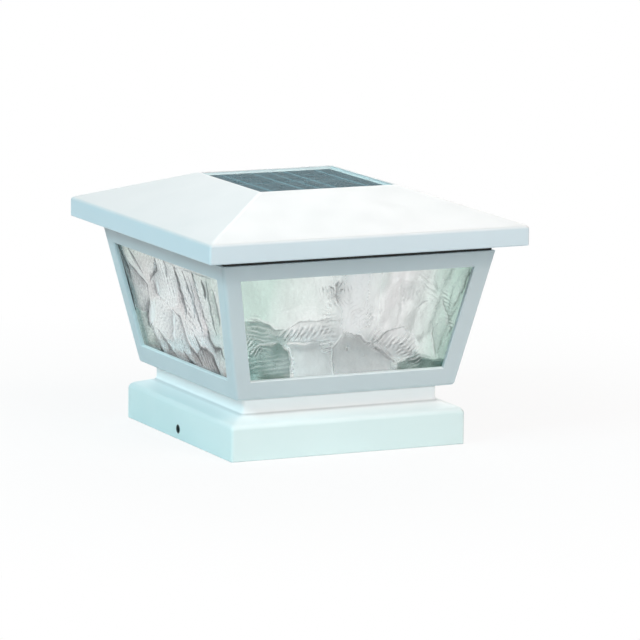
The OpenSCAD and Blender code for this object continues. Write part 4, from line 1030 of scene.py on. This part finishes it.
screwSets = {
    # node: its body, and its screws' diameter, length and thread pitch (mm)
    "floor_screws": ("lantern", 3.0, 13.0, 1.1), "clip_screws": ("lantern", 2.2, 4.8, 0.8),
    "tray_screws": ("roof_unit", 3.0, 10.5, 1.1), "board_screws": ("roof_unit", 2.2, 5.6, 0.8),
    "lens_screws": ("roof_unit", 2.2, 7.5, 0.8),
}
screwForm = {
    # shares of the diameter: the core, the thread's crest and half its thickness
    "core": 0.4, "crest": 0.42, "ridge": 0.075, "sides": 20,
    # a pan head's outline (radius, height) and its cross: half width above and below, thickness, depth
    "head": ((0.0, -0.62), (0.45, -0.62), (0.72, -0.58), (0.9, -0.47), (1.0, -0.3), (1.02, -0.1),
             (0.98, 0.0), (0.4, 0.0)),
    "steps": 32, "cross": (0.5, 0.3, 0.2, 0.9), "sharpFrom": 28,
}
seatForm = {
    # distance from the middle and height, or rows of x and y and height (mm)
    "floor": (40.0, 28.397), "tray": (58.0, 107.197), "lens": (30, 105.197),
    "board": ((-28, 28), (-32, 12), 116.297),
}
# a clip's screws across and into the wall, and what their height follows from (mm)
clipForm = {"across": 42, "depth": 6.4, "rail": 8.6, "lap": 3.2, "wall": 5.2, "reach": 72.3, "inset": 0.2}


def inOrder(obj):
    # a boolean leaves points and faces in any order, and sorted ones make every run the same
    places = [tuple(vert.co) for vert in obj.data.vertices]
    points = sorted(places)
    rank = {place: index for index, place in enumerate(points)}
    faces = []
    for face in obj.data.polygons:
        loop = [rank[places[index]] for index in face.vertices]
        first = loop.index(min(loop))
        faces.append(loop[first:] + loop[:first])
    mesh = bpy.data.meshes.new(obj.name)
    mesh.from_pydata(points, [], sorted(faces))
    obj.data = mesh
    return obj


def makeHead():
    # a pan head of diameter 1 with a cross recess, its seat at z = 0 and its top below
    form = bmesh.new()
    last = [form.verts.new((r, 0, z)) for r, z in screwForm["head"]]
    edges = [form.edges.new(pair) for pair in zip(last, last[1:])]
    bmesh.ops.spin(form, geom=last + edges, cent=(0, 0, 0), axis=(0, 0, 1), angle=2 * math.pi,
                   steps=screwForm["steps"], use_merge=True)
    bmesh.ops.remove_doubles(form, verts=form.verts, dist=1e-5)
    bmesh.ops.contextual_create(form, geom=[e for e in form.edges if e.is_boundary])
    bmesh.ops.recalc_face_normals(form, faces=form.faces)
    head = formObject("panHead", form)
    above, below, thick, deep = screwForm["cross"]
    top = screwForm["head"][0][1]
    for turn in (0, math.pi / 2):
        blade = bmesh.new()
        bmesh.ops.create_cube(blade, size=1.0)
        for vert in blade.verts:
            half = above if vert.co.z < 0 else below
            vert.co = Vector((vert.co.x * 2 * half, vert.co.y * thick, vert.co.z * deep + top))
        bmesh.ops.rotate(blade, verts=blade.verts, cent=(0, 0, 0), matrix=Matrix.Rotation(turn, 3, "Z"))
        cutter = formObject("blade", blade)
        cut = head.modifiers.new("recess", "BOOLEAN")
        cut.object = cutter
        cut.operation = "DIFFERENCE"
        cut.solver = "EXACT"
        settle(head)
        bpy.data.objects.remove(cutter)
    return shadeFrom(inOrder(head), screwForm["sharpFrom"])


def makeScrewTree(head):
    tree, given = nodeTree("panHeadScrew", ("Diameter", "Float", 0.003), ("Length", "Float", 0.01),
                           ("Pitch", "Float", 0.001))
    width, length = given["Diameter"], given["Length"]
    shape = addNode(tree, "GeometryNodeObjectInfo", in_Object=head).outputs["Geometry"]
    sizes = addNode(tree, "CombineXYZ", i0=width, i1=width, i2=width)
    core, crest, thick = (addNode(tree, "Math", operation="MULTIPLY", i0=width, i1=screwForm[key])
                          for key in ("core", "crest", "ridge"))
    shank = addNode(tree, "GeometryNodeMeshCylinder", in_Vertices=screwForm["sides"], in_Radius=core,
                    in_Depth=length)
    half = addNode(tree, "Math", operation="MULTIPLY", i0=length, i1=0.5)
    turns = addNode(tree, "Math", operation="DIVIDE", i0=length, i1=given["Pitch"])
    spiral = addNode(tree, "GeometryNodeCurveSpiral", in_Resolution=screwForm["sides"], in_Rotations=turns,
                     in_Start_Radius=crest, in_End_Radius=crest, in_Height=length)
    ridge = addNode(tree, "GeometryNodeCurvePrimitiveCircle", in_Resolution=4, in_Radius=thick)
    parts = (
        addNode(tree, "GeometryNodeTransform", i0=shape, in_Scale=sizes),
        addNode(tree, "GeometryNodeTransform", i0=shank, in_Translation=addNode(tree, "CombineXYZ", i2=half)),
        addNode(tree, "GeometryNodeCurveToMesh", i0=spiral, in_Profile_Curve=ridge, in_Fill_Caps=True),
    )
    whole = addNode(tree, "GeometryNodeJoinGeometry")
    for part in parts:
        tree.links.new(part.outputs[0], whole.inputs[0])
    turn = addNode(tree, "GeometryNodeInputNamedAttribute", data_type="FLOAT_VECTOR", i0="turn")
    return closeTree(tree, whole, given, in_Rotation=turn)


def screwPlaces():
    # each set's seats and the turns that point a shank along +Z the right way
    draw = random.Random(3)

    def seats(places, tilt=0):
        return [(place, (tilt, 0, draw.uniform(0, math.pi))) for place in places]

    corners = [(1, 1), (-1, 1), (-1, -1), (1, -1)]
    (floor, floorZ), (tray, trayZ), (lens, lensZ) = (seatForm[key] for key in ("floor", "tray", "lens"))
    across, along, boardZ = seatForm["board"]
    places = {
        "floor_screws": seats([(x * floor, y * floor, floorZ) for x, y in corners]),
        "tray_screws": seats([(x * tray, y * tray, trayZ) for x, y in corners]),
        "board_screws": seats([(x, y, boardZ) for x in across for y in along], math.pi),
        "lens_screws": seats([(lens * math.cos(a), lens * math.sin(a), lensZ)
                              for a in (0, 2 * math.pi / 3, 4 * math.pi / 3)]),
        "clip_screws": [],
    }
    # a clip's screw sits halfway between the rail over the window and the wall's inner edge
    rail = slope["length"] - clipForm["rail"] + clipForm["lap"]
    inner = (clipForm["reach"] - clipForm["wall"] * math.sin(slope["tilt"])) / math.cos(slope["tilt"])
    seat = (rail + inner) / 2 - clipForm["inset"]
    for side in range(4):
        matrix = sideMatrix(side)
        for x in (-clipForm["across"], clipForm["across"]):
            point = matrix @ Vector((x, seat, -clipForm["depth"]))
            spin = Matrix.Rotation(draw.uniform(0, math.pi), 3, "Z")
            turn = (matrix.to_3x3().normalized() @ spin).to_euler()
            places["clip_screws"].append((tuple(point / mm), tuple(turn)))
    return places


head = makeHead()
screwTree = makeScrewTree(head)
for node, seats in screwPlaces().items():
    body, diameter, length, pitch = screwSets[node]
    screws = grow(node.replace("_s", "S"), screwTree, [place for place, _ in seats],
                  {"turn": [turn for _, turn in seats]}, Diameter=diameter * mm, Length=length * mm,
                  Pitch=pitch * mm, Finish=zincSteel)
    dress(screws, body, "zinc_steel", zincSteel, node)
bpy.data.objects.remove(head)
finish("pane_clips", zincSteel)
print("screws made")


# Lamp, board, cell and wires

def makeOpal():
    # frosted polycarbonate: milky, lets light through evenly
    material, tree, place = newMaterial("frostedPolycarbonate")
    frost, cloud = (addNode(tree, "TexNoise", in_Vector=place, in_Scale=1 / (size * mm))
                    for size in (0.5, 12.0))
    tone = layered(tree, "#F0F2EF", (cloud, 0.0, 1.0, 0.0, 1.0, "#F8F9F6"))
    rough = addNode(tree, "MapRange", i0=frost, i1=0.3, i2=0.7, i3=0.45, i4=0.6)
    relief = addNode(tree, "Bump", in_Height=frost, in_Distance=0.02 * mm)
    return closeMaterial(material, addNode(tree, "BsdfPrincipled", in_Base_Color=tone, in_Roughness=rough,
                                           in_IOR=1.585, in_Transmission_Weight=0.2, in_Normal=relief))


def makeBoard():
    # FR-4 under green solder mask: copper tracks show as paler lines in straight runs and steps
    material, tree, place = newMaterial("solderMaskedFr4")
    weave = addNode(tree, "TexVoronoi", distance="CHEBYCHEV", in_Vector=place, in_Scale=1 / (0.6 * mm))
    runs = addNode(tree, "TexVoronoi", distance="MANHATTAN", feature="DISTANCE_TO_EDGE",
                   in_Vector=place, in_Scale=1 / (5.0 * mm))
    track = addNode(tree, "MapRange", i0=runs, i1=0.05, i2=0.08, i3=1.0, i4=0.0)
    tone = layered(tree, "#12482A", (weave, 0.1, 0.6, 0.0, 1.0, "#185A36"),
                   (track, 0.0, 1.0, 0.0, 1.0, "#2F8250"))
    relief = addNode(tree, "Bump", in_Height=track, in_Distance=0.03 * mm)
    return closeMaterial(material, addNode(tree, "BsdfPrincipled", in_Base_Color=tone, in_Roughness=0.32,
                                           in_IOR=1.52, in_Normal=relief))


def makeCoilTree():
    # wire wound in a close helix round a bobbin
    tree, given = nodeTree("closeWinding", ("Radius", "Float", 0.003), ("Height", "Float", 0.003),
                           ("Turns", "Float", 10.0), ("Wire", "Float", 0.0002))
    helix = addNode(tree, "GeometryNodeCurveSpiral", in_Resolution=40, in_Rotations=given["Turns"],
                    in_Start_Radius=given["Radius"], in_End_Radius=given["Radius"],
                    in_Height=given["Height"])
    section = addNode(tree, "GeometryNodeCurvePrimitiveCircle", in_Resolution=8, in_Radius=given["Wire"])
    wire = addNode(tree, "GeometryNodeCurveToMesh", i0=helix, in_Profile_Curve=section, in_Fill_Caps=True)
    return closeTree(tree, wire, given)


opal = makeOpal()
board = makeBoard()
# moulded polyphthalamide: the white frame round each LED chip
ledFrame = makeFinish("mouldedPolyphthalamide", "#E8E8E2", "#F4F4F0", 0.4, 0.3, 0.005)
# sintered ferrite: dark grey, dull
ferrite = makeFinish("sinteredFerrite", "#2E2E30", "#444446", 0.7, 0.3, 0.02)
# PVC insulation on the leads, red for plus and black for minus
redPvc = makeFinish("redPvcInsulation", "#A8201E", "#C43430", 0.35, 0.5, 0.004)
blackPvc = makeFinish("blackPvcInsulation", "#17181A", "#26282A", 0.35, 0.5, 0.004)
# hot-dip tin on the board's pads and the chip's legs: pale grey, half bright
tin = makeFinish("tinnedCopper", "#B8BCBE", "#DADDDE", 0.28, 0.3, 0.006, 1.0)

boardForm = {"top": 116.297, "under": 114.697, "led": 5.0, "ledAt": 3.889, "ledFrame": 1.42, "dome": 3.6,
             "domeRise": 0.16, "padRise": 0.035}
boardEdges = ((0.12, (-999, 115.0), always, 999), (0.12, (116.0, 999), always, 999))
padForm = (
    # width and length of a pad, and the places of its middle (mm)
    (2.4, 1.8, ((-21, 10.5), (21, 10.5), (-6, -4), (6, -4), (-26, 0), (26, 0), (-26, -20), (26, -20))),
    (1.0, 1.4, [(x, y) for x in (-20, -17, 10.5, 24.5) for y in (-12, -9, -25)]),
)
chipFoot = {"under": 116.95, "y": -25, "bodyHalf": 1.9}
canTop = {"over": 123.2, "x": 18, "y": -25, "radius": 2.4}
cellEnds = (-21.4, 27.2)
windingForm = {"centre": (2.0, -25.0, 117.5), "radius": 3.4, "height": 3.1, "turns": 11.0, "wire": 0.14}


def isLeg(middle):
    return middle.z < chipFoot["under"] and abs(middle.y - chipFoot["y"]) > chipFoot["bodyHalf"]


def isCanTop(middle):
    away = math.hypot(middle.x - canTop["x"], middle.y - canTop["y"])
    return middle.z > canTop["over"] and away < canTop["radius"]


def isCellEnd(middle):
    return not cellEnds[0] <= middle.x <= cellEnds[1]


def isPlusLead(middle):
    return middle.x > 0


def dressBoard():
    top, under, frameRise = boardForm["top"], boardForm["under"], boardForm["ledFrame"]
    spots = [(x * boardForm["ledAt"], y * boardForm["ledAt"]) for x in (-1, 1) for y in (-1, 1)]
    led, dome, domeRise, padRise = (boardForm[key] for key in ("led", "dome", "domeRise", "padRise"))
    frames = [((x, y, under - frameRise / 2), (led, led, frameRise)) for x, y in spots]
    domes = [((x, y, under - frameRise - domeRise / 2), (dome, dome, domeRise)) for x, y in spots]
    pads = [((x, y, top + padRise / 2), (w, h, padRise)) for w, h, places in padForm for x, y in places]
    dress(stamped("ledFrames", brickTree, frames, ledFrame), "roof_unit", "led_phosphor", ledFrame, "leds")
    dress(stamped("ledPhosphor", discTree, domes, phosphor), "roof_unit", "led_phosphor", phosphor)
    dress(stamped("boardPads", brickTree, pads, tin), "roof_unit", "bright_metal", tin)
    winding = grow("coilWinding", makeCoilTree(), [windingForm["centre"]], {},
                   Radius=windingForm["radius"] * mm, Height=windingForm["height"] * mm,
                   Turns=windingForm["turns"], Wire=windingForm["wire"] * mm, Finish=coilCopper)
    dress(winding, "roof_unit", "coil_copper", coilCopper)


dressCopies(
    ("lamp_lens", "frostedLens", "roof_unit", "frosted_lens", opal, 0.0),
    ("reflector", "reflectorCone", "roof_unit", "bright_metal", brightMetal, 0.0),
    ("circuit_board", "circuitBoard", "roof_unit", "green_laminate", board, roundedBy(boardEdges)),
    ("driver_chip", "driverChip", "roof_unit", "black_plastic", blackPlastic, 0.0, tin, isLeg),
    ("power_coil", "coilBobbin", "roof_unit", "coil_copper", ferrite, 0.0),
    ("capacitor", "capacitorCan", "roof_unit", "capacitor_sleeve", capacitorSleeve, 0.0, tin, isCanTop),
    ("battery_cell", "batteryCell", "roof_unit", "cell_sleeve", cellSleeve, 0.0, nickelSteel, isCellEnd),
    ("battery_leads", "batteryLeads", "roof_unit", "lead_insulation", blackPvc, 0.0, redPvc, isPlusLead),
    ("panel_leads", "panelLeads", "roof_unit", "lead_insulation", blackPvc, 0.0, redPvc, isPlusLead),
    ("contact_spring", "contactSpring", "roof_unit", "nickel_steel", nickelSteel, 0.0),
    ("contact_plates", "contactPlates", "roof_unit", "nickel_steel", nickelSteel, 0.12),
    ("hinge_pin", "hingePin", "roof_unit", "zinc_steel", zincSteel, 0.0),
    ("switch_body", "switchBody", "roof_unit", "black_plastic", blackPlastic, 0.2),
)
dressBoard()
print("lamp, board, cell and wires made")
